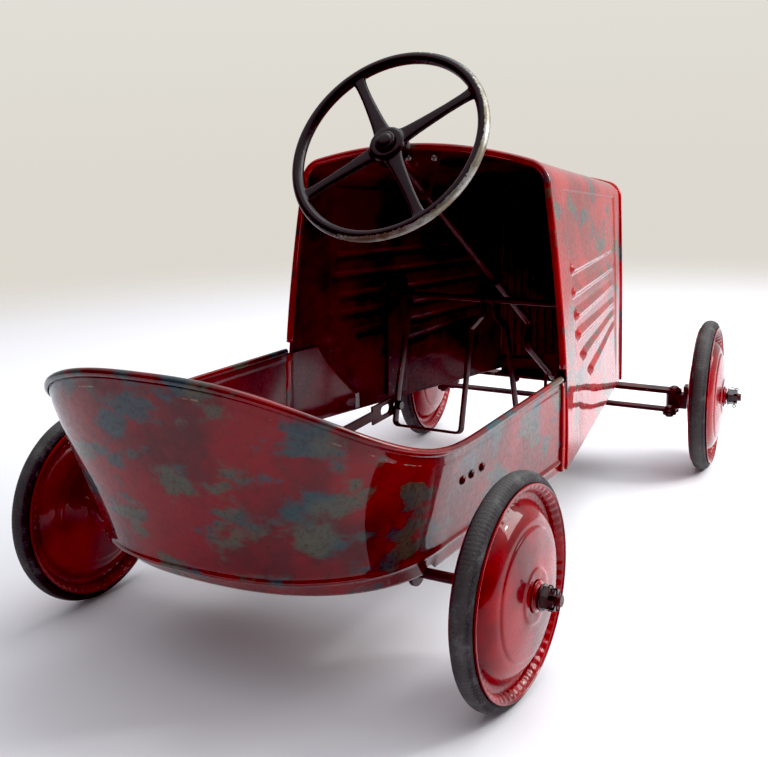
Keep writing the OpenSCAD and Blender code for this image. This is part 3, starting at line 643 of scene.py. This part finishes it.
def build_cowl_edge():
    """Wire rolled into the cowl's rear edge, down to the tail's rim on each side."""
    edge = full_section(REAR_SECTION, SHEET, 60, 12, 14)
    path = [car(x, rear_edge_y(z) - 3.2, z) for x, z in edge if z > 222]
    wear = lambda f: 0.22 + 0.2 * math.sin(f * 31) * math.sin(f * 57)
    rolled = sweep("cowl_rolled_edge", path, circle(3.9), (0, 1, 0), worn=wear)
    add_piece("cowl_rolled_edge", rolled, "root", COWL, ["cowl_rim_wire"])
    nose = full_section(FRONT_SECTION, 0.4, 60, 10, 12)
    path = [car(x, COWL_FRONT_Y - 0.6, z) for x, z in nose]
    rolled = sweep("cowl_front_bead", path, circle(2.8), (0, 1, 0), worn=wear)
    add_piece("cowl_front_bead", rolled, "root", COWL)


def build_grille():
    """Front panel with upright pressed ribs."""
    half = half_section(FRONT_SECTION, SHEET + 0.2, 60, 10, 12)
    crown = half[-1][1]
    rows, worn = [], []
    for x_half, z in half:
        row, wear = [], []
        for f in spread(150):
            x = x_half * (2 * f - 1)
            upright = smooth(124, 132, z) * (1 - smooth(crown - 34, crown - 26, z))
            border = smooth(3, 8, x_half - abs(x)) * upright
            rib = abs(math.cos(math.pi * x / RIB_PITCH)) ** 1.4
            proud = (2.6 * rib - 0.6) * border + 0.2 * lumps(x, 0, z, 45, 2)
            row.append(car(x, COWL_FRONT_Y - 1.6 + proud, z))
            wear.append(0.6 * smooth(0.8, 1, rib) * border)
        rows.append(row)
        worn.append(wear)
    mesh = tidied(grid("grille_ribs", rows, worn=worn))
    panel = add_piece("grille_ribs", mesh, "root", COWL, ["grille_panel"])
    sheet_of(panel, 1.4, COWL_INSIDE_SHADED)


# ---------- tail ----------

RIM_LOW, RIM_HIGH, RIM_RISE_Y, RIM_BACK = 219.3, 302.2, 59.7, 165.7
JOINT_Y, WIRE_R, BEAD_Z, TAIL_SHEET = 281, 3.5, 123, 1.8
# A level is half width, y where the curve starts, y at the back and the power of the curve.
LOW_LEVEL = (164, 26, -108, 2.4)
BEAD_LEVEL = (167.6, 23.5, -127.2, 2.5)
RIM_LEVEL = (188.5, 0, -RIM_BACK, 2.7)
NOTCH_Z, NOTCH_R = 101.6, 8


def cowl_side(y, z):
    """Half width of the cowl's outside at a place on its side, in mm."""
    t = (y - rear_edge_y(z)) / (COWL_FRONT_Y - rear_edge_y(z))
    low, high = (lerp(REAR_SECTION[k], FRONT_SECTION[k], t) for k in (2, 3))
    f = clamp01((z - low) / (high - low)) ** 1.7
    rear, front = (lerp(section[0], section[1], f) for section in (REAR_SECTION, FRONT_SECTION))
    return lerp(rear, front, t)


def rim_z(y):
    back = clamp01((RIM_RISE_Y - y) / (RIM_RISE_Y + RIM_BACK))
    return RIM_LOW + (RIM_HIGH - RIM_LOW) * back ** 2.6


def tail_level(v):
    """Level of the tail's sheet: v is -1 at its lower edge, 0 at the bead and 1 at the rim."""
    if v < 0:
        return [lerp(a, b, v + 1) for a, b in zip(LOW_LEVEL, BEAD_LEVEL)]
    g = v ** 1.15
    return [lerp(a, b, t) for a, b, t in zip(BEAD_LEVEL, RIM_LEVEL, (g, v, g, v))]


def tail_z(v, y):
    s = clamp01(y / JOINT_Y)
    bead = BEAD_Z + 6 * s
    if v >= 0:
        return lerp(bead, rim_z(y) - WIRE_R * 1.8, v)
    low = lerp(104, 118.5, s)
    if abs(y) < NOTCH_R:
        low = max(low, NOTCH_Z + math.sqrt(NOTCH_R ** 2 - y * y))
    return lerp(low, bead, v + 1)


def joint_w(y, z):
    return cowl_side(max(y, JOINT_Y), z) - SHEET - 0.4


def tail_front(z):
    return 320 + 75 * clamp01((226 - z) / 87) ** 1.35


def tail_row(v, curve_steps=130, straight_steps=70):
    """One level of the tail, from its right front end round the back to its left one, in mm."""
    width, start, back, power = tail_level(v)
    half = []
    for f in spread(12)[:-1]:
        z = tail_z(v, JOINT_Y)
        y = lerp(tail_front(z), JOINT_Y, f)
        half.append((joint_w(y, z), y, z))
    for f in spread(straight_steps)[:-1]:
        y = lerp(JOINT_Y, start, f)
        z = tail_z(v, y)
        half.append((lerp(joint_w(JOINT_Y, z), width, f), y, z))
    for f in spread(curve_steps):
        turn = math.pi / 2 * f
        y = start - (start - back) * math.sin(turn) ** (2 / power)
        half.append((width * max(math.cos(turn), 0) ** (2 / power), y, tail_z(v, y)))
    return half + [(-x, y, z) for x, y, z in half[-2::-1]]


def build_tail():
    levels = ([-1 + f for f in spread(10)[:-1]] + [f * 0.12 for f in spread(12)[:-1]]
              + [lerp(0.12, 1, f) for f in spread(56)])
    mm_rows = [tail_row(v) for v in levels]
    rows = [[car(*place) for place in row] for row in mm_rows]
    heights, worn = [], []
    for v, row in zip(levels, mm_rows):
        line, wear = [], []
        for x, y, z in row:
            below_rim = rim_z(y) - z
            fades = 1 - smooth(250, 285, y)
            bead = 2.3 * math.exp(-((z - tail_z(0, y)) / 2.6) ** 2) * fades
            step = -0.7 * (1 - smooth(13, 15, below_rim)) * fades
            dent = 0.7 * lumps(x, y, z, 95, 7.0) + 0.22 * lumps(x, y, z, 34, 3.0)
            line.append(bead + step + dent * smooth(-1, 0.1, v))
            dashes = smooth(-0.05, 0.25, lumps(x, y, z, 26, 9.0))
            ridge = math.exp(-((below_rim - 14.5) / 1.6) ** 2) * dashes * 0.75
            on_bead = 0.55 * math.exp(-((z - tail_z(0, y) - 2) / 2.2) ** 2) * dashes * fades
            low_edge = 0.5 * (1 - smooth(0, 4, z - row[0][2])) * (v < 0)
            wear.append(max(ridge, on_bead, low_edge))
        heights.append(line)
        worn.append(wear)
    rows = pressed(rows, lambda i, j: heights[i][j],
                   lambda p: Vector((p.x, p.y - REAR_AXLE_Y - 0.1, 0)))
    mesh = tidied(grid("tail_sheet", rows, worn=worn))
    skin = add_piece("tail_sheet", mesh, "root", TAIL_PAINT_SHADED, ["tail_panel"])
    sheet_of(skin, TAIL_SHEET, TAIL_INSIDE)


def build_tail_rim():
    """Wire rolled into the tail's upper edge."""
    path = []
    for x, y, z in tail_row(1, 90, 50):
        if y < JOINT_Y - 8:
            inward = 1 - TAIL_SHEET / 2 / 170
            path.append(car(x * inward, y if y > 0 else y * inward, rim_z(y) - WIRE_R))
    wear = lambda f: 0.2 + 0.24 * math.sin(f * 43) * math.sin(f * 97)
    rolled = sweep("tail_rolled_rim", path, circle(3.7), (0, 0, 1), worn=wear)
    add_piece("tail_rolled_rim", rolled, "root", TAIL_PAINT_SHADED, ["tail_rim_wire"])


def build_pillars():
    """Half-round trims over the joints of the cowl and the tail, each with a cap at its foot."""
    low, high = 120, RIM_LOW - 2 * WIRE_R - 0.4
    for side, name in ((1, "pillar_trim_right"), (-1, "pillar_trim_left")):
        def along(z):
            return car(side * (joint_w(JOINT_Y, z) + 1.1), rear_edge_y(z) - 6, z)
        outline = [(5 * math.cos(math.pi / 12 * k), 5 * math.sin(math.pi / 12 * k))
                   for k in range(-6, 7)]
        outline += [(-0.9, 5), (-0.9, -5)]
        cap = [(u * 1.16 if u > 0 else u, w * 1.16) for u, w in outline]
        outline = [(side * u, w) for u, w in outline]
        cap = [(side * u, w) for u, w in cap]
        path = [along(lerp(low, high, f)) for f in spread(14)]
        foot = [along(z) for z in (low - 2, low - 1, low + 11, low + 22, low + 23)]
        meshes = [sweep("trim", path, outline, (0, -1, 0)), sweep("foot", foot, cap, (0, -1, 0))]
        add_piece(name, joined(name, meshes), "root", COWL, ["pillar_beads"])


# ---------- wheels ----------

WHEEL_R = 101.6
TYRE_DEPTH, TYRE_W = 16.4, 19.6
TYRE_MID = WHEEL_R - TYRE_DEPTH / 2
DISC_T = 1.4
PLEATS, PLEAT_STEPS = 60, 6
# Outer face of a disc from the trough to the hub: radius and distance from the middle plane, in mm.
DOME = [(78.4, 1.5), (77.5, 1.9), (76.6, 3.0), (75, 5.6), (73.5, 7.5), (72, 9), (70, 10.7),
        (68, 12.2), (66, 13.4), (64, 14.4), (62, 15.2), (60, 15.7), (58.4, 16.0), (57.4, 16.4),
        (56.6, 17.1), (55.6, 17.6), (54, 18), (51, 18.5), (48, 19), (42, 19.9), (36, 20.6),
        (30, 21.2), (26, 21.5), (24.6, 21.8), (23.6, 22.4), (22.4, 22.85), (21, 23), (16, 23.05),
        (11.2, 23)]


def wheel_matrix(place, axle, side, phase):
    """Frame of a wheel: z is its axle and points away from the car."""
    out = Vector(axle).normalized() * side
    first = Vector((0, 0, 1))
    second = out.cross(first)
    turn = Matrix.Rotation(phase, 4, "Z")
    return Matrix.Translation(place) @ Matrix((first, second, out)).transposed().to_4x4() @ turn


def channel(off, degrees):
    """Place on the oval that lies off mm outside the tyre's section."""
    a = math.radians(degrees)
    return (TYRE_MID - (TYRE_DEPTH / 2 + off) * math.cos(a), (TYRE_W / 2 + off) * math.sin(a))


def build_disc(name, matrix, inner, body, node, seed):
    """Pressed half of a wheel: a pleated channel round the tyre, a trough and a stepped dome."""
    gap = 0.1
    foot = (TYRE_MID - TYRE_DEPTH / 2 - gap, 0.1)
    under = [channel(gap, a) for a in range(4, 81, 4)]
    lip = [(TYRE_MID - 1.2, 11.55), (TYRE_MID - 1.6, 12.0), (TYRE_MID - 2.4, 12.1)]
    over_angles = range(76, 9, -3)
    over = [channel(gap + DISC_T, a) for a in over_angles]
    back = [(r, h - DISC_T) for r, h in reversed(DOME)]
    unseen = 1 + len(under) + len(lip)
    profile = [foot] + under + lip + over + DOME + back
    kinds = ["rest"] * unseen + ["over"] * len(over) + ["dome"] * len(DOME) + ["rest"] * len(back)
    pleats = [0.0] * unseen + [smooth(12, 26, a) * (1 - smooth(62, 76, a)) for a in over_angles]

    def press(k, turn):
        r, h = profile[k]
        if kinds[k] == "over":
            rise = 0.75 * pleats[k] * (0.5 + 0.5 * math.cos(PLEATS * turn))
            away = Vector((r - TYRE_MID, h)).normalized()
            return r + away.x * rise, h + away.y * rise
        if kinds[k] == "dome" and r < 76:
            wave = 0.12 * math.sin(3 * turn + r / 9 + seed) + 0.08 * math.sin(7 * turn + seed * 2)
            return r, h + wave * smooth(76, 66, r)
        if kinds[k] == "dome":
            return r, h + 0.5 * (0.5 + 0.5 * math.cos(PLEATS * turn))
        return r, h

    def wear(k, turn):
        r, h = profile[k]
        spots = smooth(0.1, 0.5, lumps(r * math.cos(turn), r * math.sin(turn), h, 14, seed))
        if kinds[k] == "over":
            return 0.25 * spots + 0.3 * (r > TYRE_MID - 3) * spots
        return 0.35 * spots

    flip = Matrix.Scale(-1, 4, (0, 0, 1)) if inner else Matrix.Identity(4)
    rows, worn = [], []
    for turn in turns(PLEATS * PLEAT_STEPS):
        rows.append(turned([press(k, turn) for k in range(len(profile))], turn, matrix @ flip))
        worn.append([wear(k, turn) for k in range(len(profile))])
    mesh = tidied(grid(name, rows, around=True, across=True, worn=worn))
    add_piece(name, mesh, body, WHEEL, [node])


def build_tyre(name, matrix, body, node, seed):
    """Solid tyre of oval section, with fine cross cuts in its tread."""
    cuts, steps, columns = 160, 5, 36
    angles = [360 * k / columns for k in range(columns)]

    def shape(angle, turn, is_cut):
        a = math.radians(angle)
        across, along = math.cos(turn), math.sin(turn)
        tread = smooth(0.25, 0.6, math.cos(a))
        shoulder = 0.55 + 0.45 * smooth(0.1, 0.4, abs(math.sin(a)))
        left = 0.35 + 0.65 * smooth(-0.3, 0.4, lumps(85 * across, 85 * along, angle, 40, seed))
        cut = 0.5 * tread * shoulder * left * is_cut
        flat = 0.18 * abs(lumps(80 * across, 80 * along, angle / 9, 30, seed))
        depth = TYRE_DEPTH / 2 - cut - flat
        return TYRE_MID + depth * math.cos(a), (TYRE_W / 2 - 0.4 * cut) * math.sin(a)

    rows = [turned([shape(angle, turn, step % steps == 0) for angle in angles], turn, matrix)
            for step, turn in enumerate(turns(cuts * steps))]
    worn = [[smooth(0.5, 0.95, math.cos(math.radians(angle))) for angle in angles]] * len(rows)
    mesh = tidied(grid(name, rows, around=True, across=True, worn=worn))
    add_piece(name, mesh, body, RUBBER, [node])


def build_hub(name, matrix, body, node):
    barrel = [(5.1, -23.4), (10.4, -23.4), (11, -22.8), (11, 23.2), (13.6, 23.2), (14, 23.6),
              (13.6, 24.3), (11.4, 24.5), (11, 25), (11, 25.9), (10.4, 26.5), (5.1, 26.5)]
    add_piece(name, revolve(name, barrel, 72, matrix), body, WHEEL, [node])


def build_cotter(name, matrix, body):
    """Split pin through the axle and its castle nut, with its ends bent back."""
    height, wire = 37.2, circle(0.65, 8)
    side = matrix.to_3x3() @ Vector((1, 0, 0))
    ends = [[(0.4, -11.5, height), (0.4, 11.4, height), (0.4, 13.2, height - 2.6),
             (0.4, 13.0, height - 6.5)],
            [(-0.6, -11.5, height), (-0.6, 11.2, height), (-0.6, 13.0, height + 2.0),
             (-0.6, 10.5, height + 3.6)]]
    meshes = [sweep("leg", [matrix @ (p * MM) for p in rounded(end, 1.2, 4)], wire, side)
              for end in ends]
    eye = [(0.0, -13.2 + 1.9 * math.cos(turn), height + 1.9 * math.sin(turn)) for turn in turns(16)]
    meshes.append(sweep("eye", [matrix @ (Vector(p) * MM) for p in eye], wire, side, ring=True))
    add_piece(name, joined(name, meshes), body, STEEL)


def build_wheels():
    rear = JOINTS["rear_wheel_left_spin"]
    left_place, right_place = Vector(rear["pos_m"]), Vector(rear["pos_m"])
    right_place.x = -right_place.x
    wheels = [("rear", "left", left_place, rear["axis"], "rear_wheel_left", "crank", 0.4),
              ("rear", "right", right_place, rear["axis"], "crank", "crank", 1.9)]
    for side, phase in (("left", 2.7), ("right", 4.1)):
        joint = JOINTS["front_wheel_%s_spin" % side]
        place, body, carrier = Vector(joint["pos_m"]), joint["child"], joint["parent"]
        wheels.append(("front", side, place, joint["axis"], body, carrier, phase))
    for end, side, place, axle, body, carrier, phase in wheels:
        matrix = wheel_matrix(place, axle, -1 if side == "left" else 1, phase)
        tag = "%s_%s" % (end, side)
        outer, inner = ("%s_%s_disc_%s" % (end, half, side) for half in ("outer", "inner"))
        build_disc("disc_outer_" + tag, matrix, False, body, outer, phase)
        build_disc("disc_inner_" + tag, matrix, True, body, inner, phase + 5)
        build_tyre("tread_" + tag, matrix, body, "%s_tyre_%s" % (end, side), phase)
        build_hub("barrel_" + tag, matrix, body, "%s_hub_%s" % (end, side))
        build_cotter("cotter_" + tag, matrix, carrier)


# ---------- steering ----------

WHEEL_D, RIM_TUBE, SPOKE_TURN = 225.2, 6.3, -8


def column_matrix():
    """Frame of the steering column: z runs up it towards the driver, x to the right."""
    joint = JOINTS["steering"]
    up = -Vector(joint["axis"]).normalized()
    right = Vector((1, 0, 0))
    turn = Matrix((right, up.cross(right), up)).transposed().to_4x4()
    return Matrix.Translation(Vector(joint["pos_m"])) @ turn


def spoke_mesh(turn, ring_r):
    """Flat tapered spoke with rounded edges, from the boss to the rim."""
    # Each station: radius, half width and thickness.
    stations = [(9, 12.5, 7.0), (16, 10.6, 6.8), (24, 9.0, 6.6), (34, 7.9, 6.4), (50, 6.9, 6.0),
                (70, 6.0, 5.8), (88, 6.1, 5.8), (96, 6.8, 6.0), (101, 8.2, 6.4),
                (ring_r, 10.2, 7.0)]
    rows = []
    for r, half, thick in stations:
        row = []
        for a in turns(24):
            c, s = math.cos(a), math.sin(a)
            width = half * math.copysign(abs(c) ** 0.55, c)
            height = -0.4 + thick / 2 * math.copysign(abs(s) ** 0.7, s)
            row.append(Matrix.Rotation(turn, 3, "Z") @ Vector((r, width, height)) * MM)
        rows.append(row)
    mesh = grid("spoke", rows, across=True)
    bm = bmesh.new()
    bm.from_mesh(mesh)
    bm.verts.ensure_lookup_table()
    bm.faces.new([bm.verts[k] for k in range(24)])
    bm.faces.new([bm.verts[len(rows) * 24 - 24 + k] for k in range(24)])
    bm.to_mesh(mesh)
    bm.free()
    return tidied(mesh)


def remeshed(mesh, voxel, smoothing):
    """One closed skin round a mesh of overlapping solids, with its creases softened."""
    holder = bpy.data.objects.new("holder", mesh)
    bpy.context.scene.collection.objects.link(holder)
    remesh = holder.modifiers.new("skin", "REMESH")
    remesh.mode = "VOXEL"
    remesh.voxel_size = voxel * MM
    soften = holder.modifiers.new("soften", "SMOOTH")
    soften.factor = 0.5
    soften.iterations = smoothing
    bpy.context.view_layer.update()
    shaped = holder.evaluated_get(bpy.context.evaluated_depsgraph_get())
    result = bpy.data.meshes.new_from_object(shaped)
    bpy.data.objects.remove(holder)
    bpy.data.meshes.remove(mesh)
    return result


def build_steering_wheel():
    ring_r = WHEEL_D / 2 - RIM_TUBE
    around = [(ring_r + x, y) for x, y in circle(RIM_TUBE * 1.02, 28)]
    flat = Matrix.Identity(4)
    boss = [(5.1, -22), (12.2, -22), (13, -21), (13.4, -15.5), (15.5, -14), (19.2, -13.6),
            (20, -12.6), (20.2, 1.5), (19, 4.6), (16.5, 5.8), (14.2, 6.0), (5.1, 6.0)]
    meshes = [revolve("rim", around, 240, flat), revolve("boss", boss, 96, flat)]
    meshes += [spoke_mesh(math.radians(45 + SPOKE_TURN + 90 * k), ring_r) for k in range(4)]
    mesh = remeshed(joined("wheel", meshes), 1.15, 3)
    # Grey metal on the rim's outer edge: hand wear, and also a painted highlight where the lamps light
    # the rim's right side and top.
    wear = []
    for vert in mesh.vertices:
        x, y = vert.co.x / MM, vert.co.y / MM
        radius, angle = math.hypot(x, y), math.degrees(math.atan2(y, x))
        grip_wear_and_highlight = smooth(-130, -75, angle) * (1 - smooth(20, 75, angle))
        outer = smooth(ring_r + 0.5, ring_r + 4.5, radius)
        top = smooth(60, 80, angle) * (1 - smooth(110, 150, angle))
        wear.append((0.2 + 0.62 * grip_wear_and_highlight + 0.28 * top) * outer + 0.08)
    layer = mesh.attributes.new("worn", "FLOAT", "POINT")
    layer.data.foreach_set("value", wear)
    mesh.transform(column_matrix())
    add_piece("rim_and_spokes", mesh, "steering", BLACK, ["steering_wheel"])
    cap = [(0, 6.06), (11.3, 6.06), (11.5, 6.3), (11.5, 8.2), (11.1, 9.0), (9.8, 9.6), (9.0, 9.5),
           (8.4, 9.9), (7.4, 10.9), (5.6, 11.6), (3, 12.0), (0, 12.05)]
    mesh = revolve("wheel_cap", cap, 64, column_matrix())
    add_piece("wheel_cap", mesh, "steering", BLACK, ["steering_cap"])


# ---------- pedals ----------

PEDAL_Y, PEDAL_Z, THROW, PEDAL_ARM, TREAD_DROP = 465, 258, 36, 145, 171
BAR_R = 4


def build_pedal(name, side, body, node):
    """Loop of flat bar, hung on the pedal bar by an eye at each end."""
    swing = math.asin(THROW / PEDAL_ARM)
    hung = (Matrix.Translation(car(0, PEDAL_Y, PEDAL_Z)) @ Matrix.Rotation(side * swing, 4, "X")
            @ Matrix.Scale(side, 4, (1, 0, 0)))
    loop = [(7, 0, -6), (7, 0, -22), (20, 0, -38), (20, 0, -TREAD_DROP), (115.5, 0, -TREAD_DROP),
            (115.5, 0, -120), (111.5, 0, -14), (111.5, 0, -6)]
    path = [hung @ (p * MM) for p in rounded(loop, 6.5, 6)]
    meshes = [sweep("strap", path, flat_bar(12, 3, 0.8), hung.to_3x3() @ Vector((0, 1, 0)))]
    bore = BAR_R + 0.06
    eye = [(bore, -1.5), (7.3, -1.5), (8, -0.9), (8, 0.9), (7.3, 1.5), (bore, 1.5)]
    for x in (7, 111.5):
        upright = Matrix.Translation(Vector((x, 0, 0)) * MM) @ Matrix.Rotation(math.pi / 2, 4, "Y")
        meshes.append(revolve("eye", eye, 48, hung @ upright))
    mesh = joined(name, meshes)
    add_piece(name, tidied(mesh, 1e-7), body, CHASSIS, [node])


# ---------- small parts and chassis ----------

def build_chassis():
    """CAD nodes whose shapes are right: each is eased at its edges and painted."""
    painted = {
        CHASSIS: ["front_crossmember", "axle_beam", "beam_bolts", "king_pins", "side_braces",
                  "cross_bar", "column_hanger", "dash_bracket", "seat_rail_left", "seat_rail_right",
                  "axle_bracket_left", "axle_bracket_right", "stub_axle_left", "stub_axle_right",
                  "arm_pin_left", "arm_pin_right", "tie_rod", "crank_axle", "steering_column",
                  "push_rod_left", "push_rod_right"],
        STEEL: ["bracket_bolts", "front_nut_left", "front_nut_right", "rear_nuts",
                "pedal_bolt_left", "pedal_bolt_right"],
        TAIL_PAINT_SHADED: ["side_rivets"],
        BRIGHT: ["dash_bolts"],
    }
    for material, nodes in painted.items():
        for node in nodes:
            eased(node, body_of(node), material)
    eased("seat", "root", WOOD, 2.2)


# ---------- stage ----------

def build_world():
    """Pale backdrop. Its light on the car comes mostly from ahead, as in a room with a bright side."""
    world = bpy.data.worlds.new("studio")
    bpy.context.scene.world = world
    world.use_nodes = True
    tree = world.node_tree

    def blend(factor, a, b):
        mix = tree.nodes.new("ShaderNodeMix")
        mix.data_type = "RGBA"
        for socket, value in zip((mix.inputs[0], mix.inputs[6], mix.inputs[7]), (factor, a, b)):
            if isinstance(value, bpy.types.NodeSocket):
                tree.links.new(value, socket)
            else:
                socket.default_value = value
        return mix.outputs[2]

    def ramp(value, low, high):
        node = tree.nodes.new("ShaderNodeMapRange")
        node.interpolation_type = "SMOOTHSTEP"
        node.inputs["From Min"].default_value = low
        node.inputs["From Max"].default_value = high
        tree.links.new(value, node.inputs["Value"])
        return node.outputs["Result"]

    split = tree.nodes.new("ShaderNodeSeparateXYZ")
    tree.links.new(tree.nodes.new("ShaderNodeTexCoord").outputs["Generated"], split.inputs[0])
    level = blend(ramp(split.outputs["Y"], -0.5, 0.7), srgb(70, 68, 72), srgb(200, 200, 198))
    room = blend(ramp(split.outputs["Z"], 0.35, 0.85), level, (1.05, 1.05, 1.08, 1))
    height = ramp(split.outputs["Z"], -0.12, 0.25)
    backdrop = blend(height, srgb(222, 217, 208), srgb(227, 227, 219))
    shown = tree.nodes.new("ShaderNodeLightPath").outputs["Is Camera Ray"]
    tree.links.new(blend(shown, room, backdrop), tree.nodes["Background"].inputs["Color"])


def build_stage():
    floor = bpy.data.meshes.new("floor")
    bm = bmesh.new()
    bmesh.ops.create_circle(bm, cap_ends=True, segments=96, radius=9.0)
    bm.to_mesh(floor)
    bm.free()
    ground = bpy.data.objects.new("floor", floor)
    ground.location.z = -0.0003
    bpy.context.scene.collection.objects.link(ground)
    s = Shader("floor", Roughness=0.75, Specular_IOR_Level=0.2)
    wide = s.noise(0.8, 3, 0.5)
    s.bump(s.noise(6, 3), 0.002, 0.1)
    material = s.finish(s.mix(wide, srgb(238, 239, 242), srgb(226, 226, 232)))
    away = s.node("ShaderNodeVectorMath", "Value", {0: s.place}, operation="LENGTH")
    s.put(s.surface.inputs["Alpha"], s.step(away, 1.2, 2.6, 1.0, 0.0))
    floor.materials.append(material)

    build_world()

    def area(name, place, target, size, power, color):
        light = bpy.data.lights.new(name, "AREA")
        light.size = size
        light.energy = power
        light.color = color
        lamp = bpy.data.objects.new(name, light)
        lamp.location = place
        lamp.rotation_euler = (Vector(target) - Vector(place)).to_track_quat("-Z", "Y").to_euler()
        bpy.context.scene.collection.objects.link(lamp)

    area("window", (1.6, 1.15, 1.5), (0.1, 0.1, 0), 1.4, 46, (1.0, 0.98, 0.96))
    area("glint", (1.5, 0.5, 1.3), (0.15, 0, 0.1), 0.16, 5, (1.0, 0.99, 0.97))
    area("overhead", (0.3, 0.9, 2.4), (0, 0.1, 0), 2.0, 34, (0.95, 0.97, 1.0))


def build_camera():
    yaw, pitch, roll = math.radians(31.108), math.radians(-13.407), math.radians(-1.697)
    level = Vector((-math.sin(yaw), math.cos(yaw), 0))
    ahead = level * math.cos(pitch) + Vector((0, 0, math.sin(pitch)))
    side = Vector((math.cos(yaw), math.sin(yaw), 0))
    over = side.cross(ahead)
    right = side * math.cos(roll) + over * math.sin(roll)
    up = over * math.cos(roll) - side * math.sin(roll)
    camera = bpy.data.cameras.new("camera")
    camera.sensor_width = 36
    camera.lens = 53.175
    camera.shift_x = 0.00625
    camera.shift_y = -0.00616
    holder = bpy.data.objects.new("camera", camera)
    holder.matrix_world = (Matrix.Translation((0.6039, -1.1228, 0.5005))
                           @ Matrix((right, up, -ahead)).transposed().to_4x4())
    bpy.context.scene.collection.objects.link(holder)
    bpy.context.scene.camera = holder


build_camera()
build_cowl()
build_cowl_edge()
build_grille()
build_tail()
build_tail_rim()
build_pillars()
build_wheels()
build_steering_wheel()
build_pedal("pedal_loop_left", -1, "pedal_left", "pedal_left")
build_pedal("pedal_loop_right", 1, "pedal_right", "pedal_right")
build_chassis()
build_stage()
